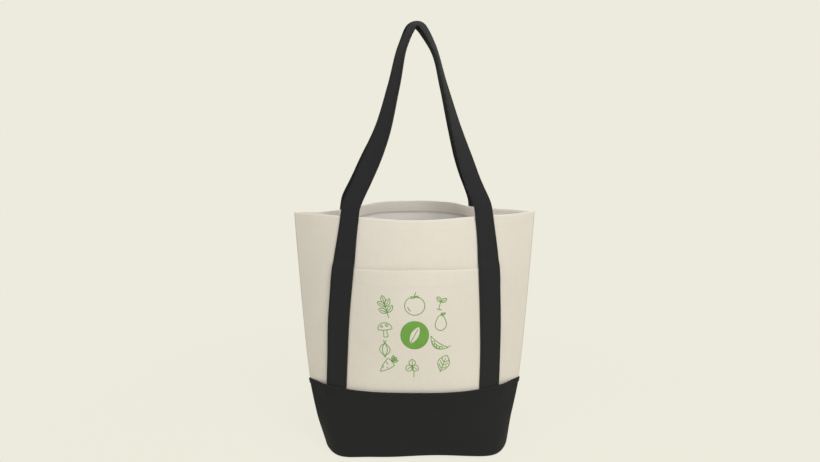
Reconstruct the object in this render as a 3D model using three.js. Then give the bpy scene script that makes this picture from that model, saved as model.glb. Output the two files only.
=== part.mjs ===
// A canvas tote bag: a natural canvas body on a black canvas base with boxed corners, an open front
// pocket, and two black handles whose straps are sewn down both faces of the bag.
// Millimetres, +Z up. The origin is the middle of the flat bottom, the pocket faces -Y, and +X is to
// the right of someone who faces the pocket.
import * as THREE from "three";

// Body.
const BODY_HEIGHT = 408; // floor to rim
const RIM_WIDTH = 390; // side seam to side seam at the rim
const RIM_DEPTH = 104; // front to back at the rim, held open
const BOTTOM_WIDTH = 304;
const BOTTOM_DEPTH = 100; // the boxed corners' depth
const BELLY = 15; // how far each face stands out at half height, past a straight wall
const FLARE = 2.3; // how early the sides spread: 1 is a straight side
const WAIST = 4.2; // how far each side is drawn in between the base and the rim
const RIM_FULLNESS = 2; // section exponent: 2 is a lens with sharp side seams
const BOTTOM_FULLNESS = 12; // a high exponent is a box, with rounded corners
const FULLNESS_FADE = 0.12; // share of the height over which the box turns into the lens
const BOTTOM_EDGE = 5; // round of the fold between wall and bottom

// Cloth.
const CANVAS = 1.2; // body and pocket cloth
const BASE_CANVAS = 1.4; // heavier base cloth
const HEM_HEIGHT = 25; // turned-in rim hem, double cloth
const BASE_HEIGHT = 124; // floor to the base panel's top edge
const BASE_LAP = 12; // how far body, pocket and straps run down inside the base
const LIP_RUN = 40; // height over which the base wall eases out over the straps
const LIP_FADE = 30; // distance past a strap over which it eases back

// Pocket.
const POCKET_HEIGHT = 202; // above the base panel's edge
const POCKET_TUCK = 8; // side edge caught under each strap
const POCKET_GAPE = 9; // how far the mouth stands off at its middle

// Straps and handles.
const STRAP_WIDTH = 37;
const STRAP_THICKNESS = 2.4;
const STRAP_SPACING = 258; // centre to centre round the face, lower down
const STRAP_PINCH = 21; // how far each strap is drawn in at the rim
const PINCH_START = 0.36; // share of the height where the straps begin to draw in
const HANDLE_RISE = 306; // rim to the top of the handle
const HANDLE_GAP = 3; // between the two handles where they meet at the top
const FOLD_RISE = 4; // the strap's fold line above the rim

// Seams and thread.
const GAP = 0.3; // between pieces that touch
const THREAD = 0.8;
const THREAD_STEP = 8; // length of a straight piece of thread
const STITCH_INSET = 3; // stitch line from a sewn edge
const BINDING_WIDTH = 8;
const BINDING_THICKNESS = 1.5;
const SIDE_BINDING_INSET = 8; // from the side seam to the binding's near edge
const GUSSET_BINDING_INSET = 17; // from the bottom's end to the binding
const GUSSET_BINDING_MARGIN = 24; // from the bottom's long edge to the binding's end

const POCKET_TOP = BASE_HEIGHT + POCKET_HEIGHT;
const LAP_BOTTOM = BASE_HEIGHT - BASE_LAP;
const POCKET_STACK = GAP + CANVAS; // thickness that the pocket adds under a strap
const STRAP_STACK = POCKET_STACK + GAP + STRAP_THICKNESS; // thickness that the base goes over

const canvas = (name) => material(name, "#ddd4c2");
const blackCanvas = (name) => material(name, "#2b2b2a");
const natural = (name) => material(name, "#d3c8b2");

function material(name, color) {
  return new THREE.MeshStandardMaterial({ name, color, roughness: 0.9, metalness: 0 });
}

function mesh(name, geometry, finish) {
  const made = new THREE.Mesh(geometry, finish(name));
  made.name = name;
  return made;
}

function ease(value, from, to) {
  return THREE.MathUtils.smoothstep(value, from, to);
}

// The bag's horizontal section at a height: half width, half depth and fullness.
function sectionAt(z) {
  const t = Math.min(Math.max(z / BODY_HEIGHT, 0), 1);
  const spread = 1 - (1 - t) ** FLARE;
  const above = Math.min(Math.max((z - BASE_HEIGHT) / (BODY_HEIGHT - BASE_HEIGHT), 0), 1);
  const drawnIn = WAIST * Math.sin(Math.PI * above);
  return {
    a: (BOTTOM_WIDTH + (RIM_WIDTH - BOTTOM_WIDTH) * spread) / 2 - drawnIn,
    b: (BOTTOM_DEPTH + (RIM_DEPTH - BOTTOM_DEPTH) * t) / 2 + BELLY * 4 * t * (1 - t),
    p: RIM_FULLNESS + (BOTTOM_FULLNESS - RIM_FULLNESS) * Math.exp(-t / FULLNESS_FADE),
  };
}

// Distance round the section from the middle of the front to points towards the side seam.
const ARC_STEPS = 400;
const arcTables = new Map();
function arcTable(z) {
  if (!arcTables.has(z)) {
    const { a, b, p } = sectionAt(z);
    const table = [{ x: 0, s: 0 }];
    let before = { x: 0, y: -b };
    for (let i = 1; i <= ARC_STEPS; i++) {
      const x = a * (1 - (1 - i / ARC_STEPS) ** 3);
      const y = -b * (1 - (x / a) ** p);
      const s = table[i - 1].s + Math.hypot(x - before.x, y - before.y);
      table.push({ x, s });
      before = { x, y };
    }
    arcTables.set(z, table);
  }
  return arcTables.get(z);
}

function quarterGirth(z) {
  return arcTable(z)[ARC_STEPS].s;
}

// A point of the front face: s round from the middle, at height z, standing off the cloth's outer
// face by offset, square to the section.
function facePoint(s, z, offset) {
  const { a, b, p } = sectionAt(z);
  const table = arcTable(z);
  const distance = Math.min(Math.abs(s), quarterGirth(z));
  let i = 1;
  while (i < ARC_STEPS && table[i].s < distance) i++;
  const share = (distance - table[i - 1].s) / (table[i].s - table[i - 1].s);
  const x = THREE.MathUtils.lerp(table[i - 1].x, table[i].x, share);
  const slope = (b * p * (x / a) ** (p - 1)) / a;
  const length = Math.hypot(slope, 1);
  const side = Math.sign(s);
  return new THREE.Vector3(
    side * (x + (offset * slope) / length),
    -b * (1 - (x / a) ** p) - offset / length,
    z,
  );
}

// Bends a box of columns by rows into a solid: place(u, v, d) takes -1 to 1 across, 0 to 1 up and
// 0 inner or 1 outer.
function bentBox(columns, rows, place) {
  const geometry = new THREE.BoxGeometry(2, 1, 1, columns, rows, 1);
  const position = geometry.getAttribute("position");
  for (let i = 0; i < position.count; i++) {
    const point = place(position.getX(i), position.getY(i) + 0.5, position.getZ(i) + 0.5);
    position.setXYZ(i, point.x, point.y, point.z);
  }
  return geometry;
}

// A thread: a thin square cord through the points, straight between them, in steps short enough to
// follow every corner.
function thread(points) {
  const h = THREAD / 2;
  const corners = [[-h, -h], [h, -h], [h, h], [-h, h]].map(([x, y]) => new THREE.Vector2(x, y));
  const extrudePath = new THREE.CatmullRomCurve3(points, false, "catmullrom", 0);
  const steps = Math.ceil(extrudePath.getLength() / THREAD_STEP);
  return new THREE.ExtrudeGeometry(new THREE.Shape(corners), { steps, extrudePath });
}

function inSteps(count, point) {
  return Array.from({ length: count + 1 }, (_, i) => point(i / count));
}

// One face of the body, from side seam to side seam. The rim hem is turned in, so the cloth is
// double there. Front and back meet at the side seams a gap apart.
function bodyPanel() {
  const hemBottom = BODY_HEIGHT - HEM_HEIGHT;
  const heights = [LAP_BOTTOM, ...inSteps(8, (v) => THREE.MathUtils.lerp(BASE_HEIGHT, hemBottom, v)),
    hemBottom + CANVAS, BODY_HEIGHT];
  const rows = heights.length - 1;
  return bentBox(28, rows, (u, v, d) => {
    const z = heights[Math.round(v * rows)];
    const layers = z > hemBottom ? 2 : 1;
    const point = facePoint(u * quarterGirth(z), z, (d - 1) * CANVAS * layers);
    point.y = Math.min(point.y, -GAP / 2);
    return point;
  });
}

// Stand-off of the base wall's inner face: it lies on the body lower down and at the side seams,
// and goes out over the ends of the pocket and straps at its top edge.
function baseStandOff(s, z) {
  const strapEdge = strapCentre(z) + STRAP_WIDTH / 2 + STITCH_INSET;
  const over = 1 - ease(Math.abs(s), strapEdge, strapEdge + LIP_FADE);
  return GAP + (STRAP_STACK + GAP) * over * ease(z, BASE_HEIGHT - LIP_RUN, LAP_BOTTOM);
}

// The base: bottom and low walls in one piece of cloth, folded up at the boxed corners.
function basePanel() {
  const walls = [BOTTOM_EDGE, ...inSteps(4, (v) =>
    THREE.MathUtils.lerp(4 * BOTTOM_EDGE, BASE_HEIGHT - LIP_RUN, v)), LAP_BOTTOM - BASE_LAP,
    LAP_BOTTOM, BASE_HEIGHT];
  const curl = BOTTOM_EDGE * (1 - Math.SQRT1_2);
  const flat = [0, 0.35, 0.7, 1];
  // Each stop of the profile: share of the section, 1 at the wall, height, then the cloth's
  // thickness there and how far it is drawn in round the bottom edge.
  const stops = [
    ...flat.map((share) => ({ share, z: 0, cloth: BASE_CANVAS, drawn: BOTTOM_EDGE })),
    { share: 1, z: curl, cloth: BASE_CANVAS, drawn: curl },
    ...walls.map((z) => ({ share: 1, z, cloth: BASE_CANVAS, drawn: 0 })),
    ...walls.slice().reverse().map((z) => ({ share: 1, z, cloth: 0, drawn: 0 })),
    ...flat.slice().reverse().map((share) =>
      ({ share, z: BASE_CANVAS, cloth: BASE_CANVAS, drawn: BOTTOM_EDGE })),
  ];
  const around = 64;
  const geometry = new THREE.LatheGeometry(stops.map(({ z }, i) => new THREE.Vector2(i, z)), around);
  const position = geometry.getAttribute("position");
  for (let i = 0; i < position.count; i++) {
    const { share, z, cloth, drawn } = stops[i % stops.length];
    const turn = (Math.floor(i / stops.length) % around) / around;
    const point = ringPoint(turn, z, cloth - drawn);
    position.setXYZ(i, point.x * share, point.y * share, z);
  }
  return geometry;
}

// A point of the base's whole ring, a share of the way round from the middle of the front to the
// right, off the wall's inner face.
function ringPoint(turn, z, off) {
  const quarter = turn * 4;
  const front = quarter <= 1 || quarter >= 3;
  const s = (quarter <= 1 ? quarter : quarter >= 3 ? quarter - 4 : 2 - quarter) * quarterGirth(z);
  const offset = baseStandOff(s, z) + off;
  if (Math.abs(Math.abs(s) - quarterGirth(z)) < GAP)
    return new THREE.Vector3(Math.sign(s) * (sectionAt(z).a + offset), 0, z);
  const point = facePoint(s, z, offset);
  if (!front) point.y = -point.y;
  return point;
}

// Distance round the face from its middle to a strap's centre line.
function strapCentre(z) {
  const start = BODY_HEIGHT * PINCH_START;
  return STRAP_SPACING / 2 - STRAP_PINCH * Math.max((z - start) / (BODY_HEIGHT - start), 0) ** 2;
}

// Stand-off of a strap's inner face: over the pocket's edge below, on the body above.
function strapStandOff(z) {
  return GAP + POCKET_STACK * (1 - ease(z, POCKET_TOP + GAP, POCKET_TOP + GAP + BASE_LAP));
}

function pocketStandOff(s, z) {
  const reach = strapCentre(z) - STRAP_WIDTH / 2;
  const across = Math.max(1 - (s / reach) ** 2, 0);
  return GAP + POCKET_GAPE * across * ease(z, BASE_HEIGHT, POCKET_TOP);
}

// The patch pocket: its sides are caught under the straps and its foot under the base.
function frontPocket() {
  const heights = [LAP_BOTTOM, ...inSteps(8, (v) => THREE.MathUtils.lerp(BASE_HEIGHT, POCKET_TOP, v))];
  const rows = heights.length - 1;
  return bentBox(26, rows, (u, v, d) => {
    const z = heights[Math.round(v * rows)];
    const s = u * (strapCentre(z) - STRAP_WIDTH / 2 + POCKET_TUCK);
    return facePoint(s, z, pocketStandOff(s, z) + d * CANVAS);
  });
}

// The sewn length of a strap runs from inside the base to its fold line just above the rim.
function strapHeights() {
  const top = BODY_HEIGHT + FOLD_RISE - GAP;
  return [LAP_BOTTOM, ...inSteps(8, (v) => THREE.MathUtils.lerp(BASE_HEIGHT, POCKET_TOP, v)),
    ...inSteps(4, (v) => THREE.MathUtils.lerp(POCKET_TOP + BASE_LAP, BODY_HEIGHT - STITCH_INSET, v)), top];
}

function sewnStrap(side) {
  const heights = strapHeights();
  const rows = heights.length - 1;
  return bentBox(4, rows, (u, v, d) => {
    const z = heights[Math.round(v * rows)];
    const s = side * strapCentre(z) + (u * STRAP_WIDTH) / 2;
    return facePoint(s, z, strapStandOff(z) + d * STRAP_THICKNESS);
  });
}

// Where a strap meets the fold line: the middle of its thickness, and the face's turn there.
function foldPoint() {
  const z = BODY_HEIGHT + FOLD_RISE;
  const s = strapCentre(z);
  const middle = facePoint(s, z, GAP + STRAP_THICKNESS / 2);
  const { a, b, p } = sectionAt(z);
  return { middle, turn: Math.atan((b * p * (Math.abs(middle.x) / a) ** (p - 1)) / a) };
}

// The centre line of a free handle, from its left foot over the top to its right foot.
function handleCurve() {
  const { middle } = foldPoint();
  const foot = BODY_HEIGHT + FOLD_RISE + GAP;
  const top = BODY_HEIGHT + HANDLE_RISE - STRAP_THICKNESS / 2;
  const topY = -(HANDLE_GAP + STRAP_WIDTH) / 2;
  // Shares of the foot's half spacing and of the rise: the legs lean in and round over at the top.
  const leg = [[1, 0], [0.99, 0.035], [0.8, 0.2], [0.57, 0.43], [0.39, 0.67], [0.235, 0.88]];
  const place = (side) => ([across, up]) => new THREE.Vector3(
    side * across * middle.x,
    THREE.MathUtils.lerp(middle.y, topY, up),
    THREE.MathUtils.lerp(foot, top, up),
  );
  return new THREE.CatmullRomCurve3(
    [...leg.map(place(-1)), new THREE.Vector3(0, topY, top), ...leg.map(place(1)).reverse()],
    false,
    "centripetal",
  );
}

// A point of the twisting handle: t along it, across its width and off its middle. The strap faces
// the front at its feet and turns until it lies flat over the top.
function handlePoint(curve, t, across, off) {
  const centre = curve.getPointAt(t);
  const along = curve.getTangentAt(t);
  const up = 1 - Math.abs(2 * t - 1);
  const angle = THREE.MathUtils.lerp(foldPoint().turn, Math.PI / 2, Math.sin((up * Math.PI) / 2));
  const inward = new THREE.Vector3(along.z, 0, -along.x).normalize();
  const width = inward.multiplyScalar(Math.cos(angle)).add(new THREE.Vector3(0, -Math.sin(angle), 0));
  width.addScaledVector(along, -width.dot(along)).normalize();
  const normal = width.clone().cross(along);
  // The feet are cut level along the fold line.
  const level = up === 0 ? new THREE.Vector3(width.x, width.y, 0).normalize() : width;
  const point = centre.clone().addScaledVector(level, across);
  return point.addScaledVector(up === 0 ? normal.setZ(0).normalize() : normal, off);
}

const HANDLE_STEPS = 44;

function handle() {
  const curve = handleCurve();
  return bentBox(4, HANDLE_STEPS, (u, v, d) =>
    handlePoint(curve, v, (u * STRAP_WIDTH) / 2, (d - 0.5) * STRAP_THICKNESS));
}

// A thread's middle above the cloth that it lies on, whichever way its square section has turned.
const ON_TOP = GAP + THREAD * Math.SQRT1_2;

// A handle's edge stitching, in step with the handle: across is 1 for the inner edge and -1 for the
// outer edge.
function handleThread(across) {
  const curve = handleCurve();
  const inset = across * (STRAP_WIDTH / 2 - STITCH_INSET);
  const rows = HANDLE_STEPS - 2;
  return bentBox(1, rows, (u, v, d) => {
    const t = (1 + Math.round(v * rows)) / HANDLE_STEPS;
    return handlePoint(curve, t, inset + (u * THREAD) / 2, STRAP_THICKNESS / 2 + GAP + d * THREAD);
  });
}

// A sewn strap's stitching: up one edge, across below the rim and down the other edge.
function strapThread(side) {
  const inset = STRAP_WIDTH / 2 - STITCH_INSET;
  const heights = [BASE_HEIGHT + STITCH_INSET, ...strapHeights().slice(2, -1)];
  const at = (across, z) =>
    facePoint(side * strapCentre(z) + across, z, strapStandOff(z) + STRAP_THICKNESS + ON_TOP);
  const edge = (across) => heights.map((z) => at(across, z));
  return thread([...edge(-inset), at(0, heights.at(-1)), ...edge(inset).reverse()]);
}

function baseThread() {
  const z = BASE_HEIGHT - STITCH_INSET;
  const reach = quarterGirth(z) - STITCH_INSET;
  return thread(inSteps(32, (v) => {
    const s = (2 * v - 1) * reach;
    return facePoint(s, z, baseStandOff(s, z) + BASE_CANVAS + ON_TOP);
  }));
}

// The rim hem's stitching, seen on the inside of the bag.
function hemThread() {
  const z = BODY_HEIGHT - HEM_HEIGHT + STITCH_INSET;
  const reach = quarterGirth(z) - SIDE_BINDING_INSET - 2 * BINDING_WIDTH;
  return thread(inSteps(32, (v) => facePoint((2 * v - 1) * reach, z, -2 * CANVAS - ON_TOP)));
}

function pocketThread() {
  const z = POCKET_TOP - HEM_HEIGHT + STITCH_INSET;
  const reach = strapCentre(z) - STRAP_WIDTH / 2 - STITCH_INSET;
  return thread(inSteps(24, (v) => {
    const s = (2 * v - 1) * reach;
    return facePoint(s, z, pocketStandOff(s, z) + CANVAS + ON_TOP);
  }));
}

// The side seam's allowances, bound with tape, standing into the bag.
function sideBinding(side) {
  const bottom = BOTTOM_EDGE + BASE_CANVAS;
  const top = BODY_HEIGHT - STITCH_INSET;
  return bentBox(1, 12, (u, v, d) => {
    const z = THREE.MathUtils.lerp(bottom, top, v);
    const near = sectionAt(z).a - SIDE_BINDING_INSET - BINDING_WIDTH / 2;
    return new THREE.Vector3(side * near + (u * BINDING_WIDTH) / 2, (0.5 - d) * BINDING_THICKNESS, z);
  });
}

// The boxed corner's bound seam, lying across the end of the bottom.
function gussetBinding(side) {
  const length = BOTTOM_DEPTH - 2 * GUSSET_BINDING_MARGIN;
  const geometry = new THREE.BoxGeometry(BINDING_WIDTH, length, BINDING_THICKNESS);
  const x = BOTTOM_WIDTH / 2 - GUSSET_BINDING_INSET - BINDING_WIDTH / 2;
  return geometry.translate(side * x, 0, BASE_CANVAS + GAP + BINDING_THICKNESS / 2);
}

// What one face of the bag carries. The back is the same, turned about the middle.
function face(name, left, right) {
  const group = new THREE.Group();
  group.add(mesh(`${name}_panel`, bodyPanel(), canvas));
  group.add(mesh(`${name}_hem_thread`, hemThread(), natural));
  group.add(mesh(`${name}_base_thread`, baseThread(), blackCanvas));
  for (const [side, word] of [[-1, left], [1, right]]) {
    group.add(mesh(`${name}_strap_${word}`, sewnStrap(side), blackCanvas));
    group.add(mesh(`${name}_strap_${word}_thread`, strapThread(side), blackCanvas));
  }
  group.add(mesh(`${name}_handle`, handle(), blackCanvas));
  group.add(mesh(`${name}_handle_inner_thread`, handleThread(1), blackCanvas));
  group.add(mesh(`${name}_handle_outer_thread`, handleThread(-1), blackCanvas));
  return group;
}

const bag = new THREE.Group();
const front = face("front", "left", "right");
front.add(mesh("front_pocket", frontPocket(), canvas));
front.add(mesh("front_pocket_thread", pocketThread(), natural));
const back = face("back", "right", "left");
back.rotation.z = Math.PI;
bag.add(front, back, mesh("base_panel", basePanel(), blackCanvas));
for (const [side, word] of [[-1, "left"], [1, "right"]]) {
  bag.add(mesh(`${word}_side_binding`, sideBinding(side), natural));
  bag.add(mesh(`${word}_gusset_binding`, gussetBinding(side), natural));
}

export default bag;
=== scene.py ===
"""A canvas tote bag: the cloth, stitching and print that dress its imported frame.

Metres, +Z up, the pocket faces -Y. Every surface of the bag is laid on one lofted form. A point of
it is found from the distance round a face from its middle, the height, and how far it stands off
the cloth's outer face, so that the body, pocket, straps, base and stitches keep their order.
"""
import logging
import math
from collections.abc import Callable, Sequence
from dataclasses import dataclass, field
from enum import Enum

import bpy
import numpy as np
from mathutils import Matrix, Vector


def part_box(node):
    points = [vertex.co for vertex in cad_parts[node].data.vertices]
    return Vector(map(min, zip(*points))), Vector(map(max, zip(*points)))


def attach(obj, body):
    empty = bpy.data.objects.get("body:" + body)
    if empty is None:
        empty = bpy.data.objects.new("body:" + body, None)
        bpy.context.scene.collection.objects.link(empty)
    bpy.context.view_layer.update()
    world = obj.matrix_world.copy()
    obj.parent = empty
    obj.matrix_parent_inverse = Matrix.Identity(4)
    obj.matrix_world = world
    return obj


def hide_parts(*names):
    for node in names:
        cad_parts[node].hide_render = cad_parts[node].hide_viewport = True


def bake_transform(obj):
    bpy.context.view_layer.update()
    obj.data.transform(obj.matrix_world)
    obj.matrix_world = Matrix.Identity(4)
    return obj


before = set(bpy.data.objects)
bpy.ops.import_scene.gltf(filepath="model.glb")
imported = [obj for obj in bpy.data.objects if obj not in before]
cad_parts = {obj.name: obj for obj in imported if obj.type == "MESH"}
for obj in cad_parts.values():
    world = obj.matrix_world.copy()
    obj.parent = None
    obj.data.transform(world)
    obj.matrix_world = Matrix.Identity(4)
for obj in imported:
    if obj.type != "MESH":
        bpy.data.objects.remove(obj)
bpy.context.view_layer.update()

Array = np.ndarray
Socket = bpy.types.NodeSocket
Colour = tuple[float, float, float]

LOG = logging.getLogger("tote")
MM = 0.001
GAP = 0.3 * MM
CLOTH_MAP = "cloth"
EDGE_MASK = "edge"
# Marks the inside faces of the cloth, which wear a painted lighter tone.
INSIDE_MASK = "inside"
CANVAS_PITCH = 0.95 * MM  # the width of one yarn of the natural cloth
WORN_EDGE = 2.5 * MM  # how far rubbing reaches in from an edge
FOLD_TAKE_UP = 2.5  # the cloth that a fold takes up, as a multiple of its depth
POCKET_CUT = (0.31, 0.17)  # where the pocket's cloth was cut, away from the body's


def ease(value: Array | float, start: float, end: float) -> Array:
    """Smooth step from 0 at start to 1 at end: three squares less two cubes of the share.

    Args:
        value: where to read the step.
        start: value at which it is 0.
        end: value at which it is 1.

    Returns:
        The step at each value.
    """
    t = np.clip((np.asarray(value, float) - start) / (end - start), 0.0, 1.0)
    return t * t * (3.0 - 2.0 * t)


def linear(colour: Sequence[float]) -> tuple[float, float, float, float]:
    """Screen colour from 0 to 255 as linear light, with the usual two-part sRGB curve.

    Args:
        colour: red, green and blue from 0 to 255.

    Returns:
        Linear red, green, blue and a full alpha.
    """
    c = np.asarray(colour, float) / 255.0
    light = np.where(c <= 0.04045, c / 12.92, ((c + 0.055) / 1.055) ** 2.4)
    return (float(light[0]), float(light[1]), float(light[2]), 1.0)


def unit(vectors: Array) -> Array:
    """Vectors scaled to a length of one."""
    return vectors / np.linalg.norm(vectors, axis=-1, keepdims=True)


def reach_along(path: Array) -> Array:
    """Distance travelled along a path at each of its points."""
    return np.concatenate([[0.0], np.cumsum(np.linalg.norm(np.diff(path, axis=0), axis=1))])


def read_along(places: Array, reach: Array, values: Array) -> Array:
    """Points or directions known at distances along a path, read at other distances."""
    return np.stack([np.interp(places, reach, values[:, i]) for i in range(3)], -1)


class Face(Enum):
    """The two faces of the bag. The back is the front turned half round."""

    FRONT = "front"
    BACK = "back"

    def turn(self, points: Array) -> Array:
        """Points of the front's place moved to this face's place."""
        return points if self is Face.FRONT else points * np.array([-1.0, -1.0, 1.0])

    def side(self, word: str) -> int:
        """The sign of this face's own across direction on the bag's left or right."""
        sign = -1 if word == "left" else 1
        return sign if self is Face.FRONT else -sign


@dataclass
class Skin:
    """Grids of points gathered into one closed mesh, with cloth coordinates and two masks."""

    points: list[Array] = field(default_factory=list)
    faces: list[Array] = field(default_factory=list)
    cloth: list[Array] = field(default_factory=list)
    masks: list[Array] = field(default_factory=list)
    count: int = 0

    def grid(self, points: Array, cloth: Array | None = None, masks: Array | None = None,
             wrap_rows: bool = False, wrap_columns: bool = False) -> Array:
        """Adds a grid of points joined by four-sided faces.

        Args:
            points: rows by columns by three.
            cloth: cloth coordinates, one more row or column than points where that wraps.
            masks: edge and inside masks, rows by columns by two.
            wrap_rows: whether the last row joins the first.
            wrap_columns: whether the last column joins the first.

        Returns:
            The number of each point in the mesh, rows by columns.
        """
        rows, columns = points.shape[:2]
        ids = np.arange(rows * columns).reshape(rows, columns) + self.count
        full = np.pad(ids, ((0, wrap_rows), (0, wrap_columns)), mode="wrap")
        quads = np.stack([full[:-1, :-1], full[:-1, 1:], full[1:, 1:], full[1:, :-1]], -1)
        if cloth is None:
            cloth = np.zeros((*full.shape, 2))
        corners = np.stack([cloth[:-1, :-1], cloth[:-1, 1:], cloth[1:, 1:], cloth[1:, :-1]], 2)
        self.points.append(points.reshape(-1, 3))
        self.faces.append(quads.reshape(-1, 4))
        self.cloth.append(corners.reshape(-1, 4, 2))
        self.masks.append(np.zeros((ids.size, 2)) if masks is None else masks.reshape(-1, 2))
        self.count += ids.size
        return ids

    def close(self, ring: Array, cloth: Array | None = None) -> None:
        """Closes a ring of points with faces across it, from one half of the ring to the other.

        Args:
            ring: an even number of point numbers, the first and last side by side.
            cloth: cloth coordinates of the ring.
        """
        half = len(ring) // 2
        near, far = ring[:half], ring[::-1][:half]
        self.faces.append(np.stack([near[:-1], near[1:], far[1:], far[:-1]], -1))
        flat = np.zeros((len(ring), 2)) if cloth is None else cloth
        a, b = flat[:half], flat[::-1][:half]
        self.cloth.append(np.stack([a[:-1], a[1:], b[1:], b[:-1]], 1))

    def tube(self, rings: Array, cloth: Array | None = None, masks: Array | None = None) -> None:
        """Adds closed rings of points carried along a path, with both ends closed.

        Args:
            rings: rings by points round each ring by three, with an even number round.
            cloth: cloth coordinates, with one more column than rings.
            masks: edge and inside masks of the rings.
        """
        ids = self.grid(rings, cloth, masks, wrap_columns=True)
        self.close(ids[0], None if cloth is None else cloth[0, :-1])
        self.close(ids[-1][::-1], None if cloth is None else cloth[-1, :-1][::-1])

    def wall(self, points: Array, cloth: Array, masks: Array) -> None:
        """Adds a closed profile carried sideways, with both ends closed.

        Args:
            points: points round the profile by columns by three.
            cloth: cloth coordinates of the points.
            masks: edge and inside masks of the points.
        """
        ids = self.grid(points, np.concatenate([cloth, cloth[:1]]), masks, wrap_rows=True)
        self.close(ids[:, 0], cloth[:, 0])
        self.close(ids[:, -1][::-1], cloth[:, -1][::-1])

    def tubes(self, rings: Array) -> None:
        """Adds many short closed tubes at once, all of the same make.

        Args:
            rings: tubes by rings by points round by three, with an even number round.
        """
        tubes, rows, around = rings.shape[:3]
        ids = np.arange(tubes * rows * around).reshape(tubes, rows, around) + self.count
        full = np.concatenate([ids, ids[:, :, :1]], 2)
        walls = np.stack([full[:, :-1, :-1], full[:, :-1, 1:], full[:, 1:, 1:], full[:, 1:, :-1]], -1)
        half = around // 2
        ends = []
        for ring in (ids[:, 0], ids[:, -1, ::-1]):
            near, far = ring[:, :half], ring[:, ::-1][:, :half]
            ends.append(np.stack([near[:, :-1], near[:, 1:], far[:, 1:], far[:, :-1]], -1))
        quads = np.concatenate([walls.reshape(-1, 4), *(end.reshape(-1, 4) for end in ends)])
        self.points.append(rings.reshape(-1, 3))
        self.faces.append(quads)
        self.cloth.append(np.zeros((len(quads), 4, 2)))
        self.masks.append(np.zeros((ids.size, 2)))
        self.count += ids.size

    def make(self, name: str, finish: "Finish") -> bpy.types.Object:
        """Makes the mesh object with its faces outwards.

        Six times a closed mesh's volume is the sum over its triangles of the corner points'
        triple product. Where that is negative, every face is turned over.

        Args:
            name: the piece's name.
            finish: the finish that it wears.

        Returns:
            The object, at the origin.
        """
        points, faces = np.concatenate(self.points), np.concatenate(self.faces)
        cloth = np.concatenate(self.cloth)
        a, b, c, d = (points[faces[:, i]] for i in range(4))
        volume = np.sum(np.cross(a, b) * c) + np.sum(np.cross(a, c) * d)
        if volume < 0:
            faces, cloth = faces[:, ::-1], cloth[:, ::-1]
        mesh = bpy.data.meshes.new(name)
        mesh.vertices.add(len(points))
        mesh.vertices.foreach_set("co", points.astype(np.float32).ravel())
        mesh.loops.add(faces.size)
        mesh.loops.foreach_set("vertex_index", faces.astype(np.int32).ravel())
        mesh.polygons.add(len(faces))
        mesh.polygons.foreach_set("loop_start", np.arange(0, faces.size, 4, dtype=np.int32))
        mesh.update(calc_edges=True)
        mesh.polygons.foreach_set("use_smooth", np.ones(len(faces), bool))
        mesh.uv_layers.new(name=CLOTH_MAP).data.foreach_set("uv", cloth.astype(np.float32).ravel())
        masks = np.concatenate(self.masks).astype(np.float32)
        for column, mask in enumerate((EDGE_MASK, INSIDE_MASK)):
            layer = mesh.attributes.new(mask, "FLOAT", "POINT")
            layer.data.foreach_set("value", np.ascontiguousarray(masks[:, column]))
        mesh.materials.append(finish.material())
        made = bpy.data.objects.new(name, mesh)
        bpy.context.scene.collection.objects.link(made)
        LOG.info("%s: %d points, %d faces", name, len(points), len(faces))
        return made


# ---------------------------------------------------------------------------------------------
# Finishes


class Nodes:
    """A node tree with short ways to add nodes and link them."""

    def __init__(self, tree: bpy.types.NodeTree) -> None:
        """Keeps the tree, emptied."""
        self.tree = tree
        tree.nodes.clear()

    def add(self, kind: str, inputs: dict | None = None, **settings: object) -> bpy.types.Node:
        """Adds a node.

        Args:
            kind: the node's type, without its ShaderNode prefix.
            inputs: value or socket for each input, by name or number.
            settings: the node's own properties.

        Returns:
            The node.
        """
        node = self.tree.nodes.new("ShaderNode" + kind)
        for key, value in settings.items():
            setattr(node, key, value)
        for key, value in (inputs or {}).items():
            if isinstance(value, bpy.types.NodeSocket):
                self.tree.links.new(value, node.inputs[key])
            else:
                node.inputs[key].default_value = value
        return node

    def math(self, operation: str, *values: float | Socket) -> Socket:
        """Result of one sum on one to three numbers."""
        return self.add("Math", dict(enumerate(values)), operation=operation).outputs[0]

    def mix(self, share: float | Socket, a: object, b: object) -> Socket:
        """Colour a turned into colour b by a share."""
        node = self.add("Mix", {0: share, 6: a, 7: b}, data_type="RGBA")
        return node.outputs[2]

    def span(self, value: Socket, low: float, high: float, to_low: float, to_high: float) -> Socket:
        """A number carried from one range to another and held there."""
        node = self.add("MapRange", {0: value, 1: low, 2: high, 3: to_low, 4: to_high})
        return node.outputs[0]

    def noise(self, vector: Socket, scale: float, detail: float = 2.0) -> Socket:
        """Grey noise of a scale read at a vector."""
        node = self.add("TexNoise", {"Vector": vector, "Scale": scale, "Detail": detail})
        return node.outputs[0]

    def stretch(self, vector: Socket, scale: Sequence[float]) -> Socket:
        """A vector with each of its numbers scaled."""
        return self.add("Mapping", {"Vector": vector, "Scale": tuple(scale)}).outputs[0]

    def emboss(self, surface: bpy.types.Node, height: Socket, depth: float, strength: float) -> None:
        """Raises a surface shader by a height."""
        bump = self.add("Bump", {"Height": height, "Distance": depth, "Strength": strength})
        self.tree.links.new(bump.outputs[0], surface.inputs["Normal"])


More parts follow.
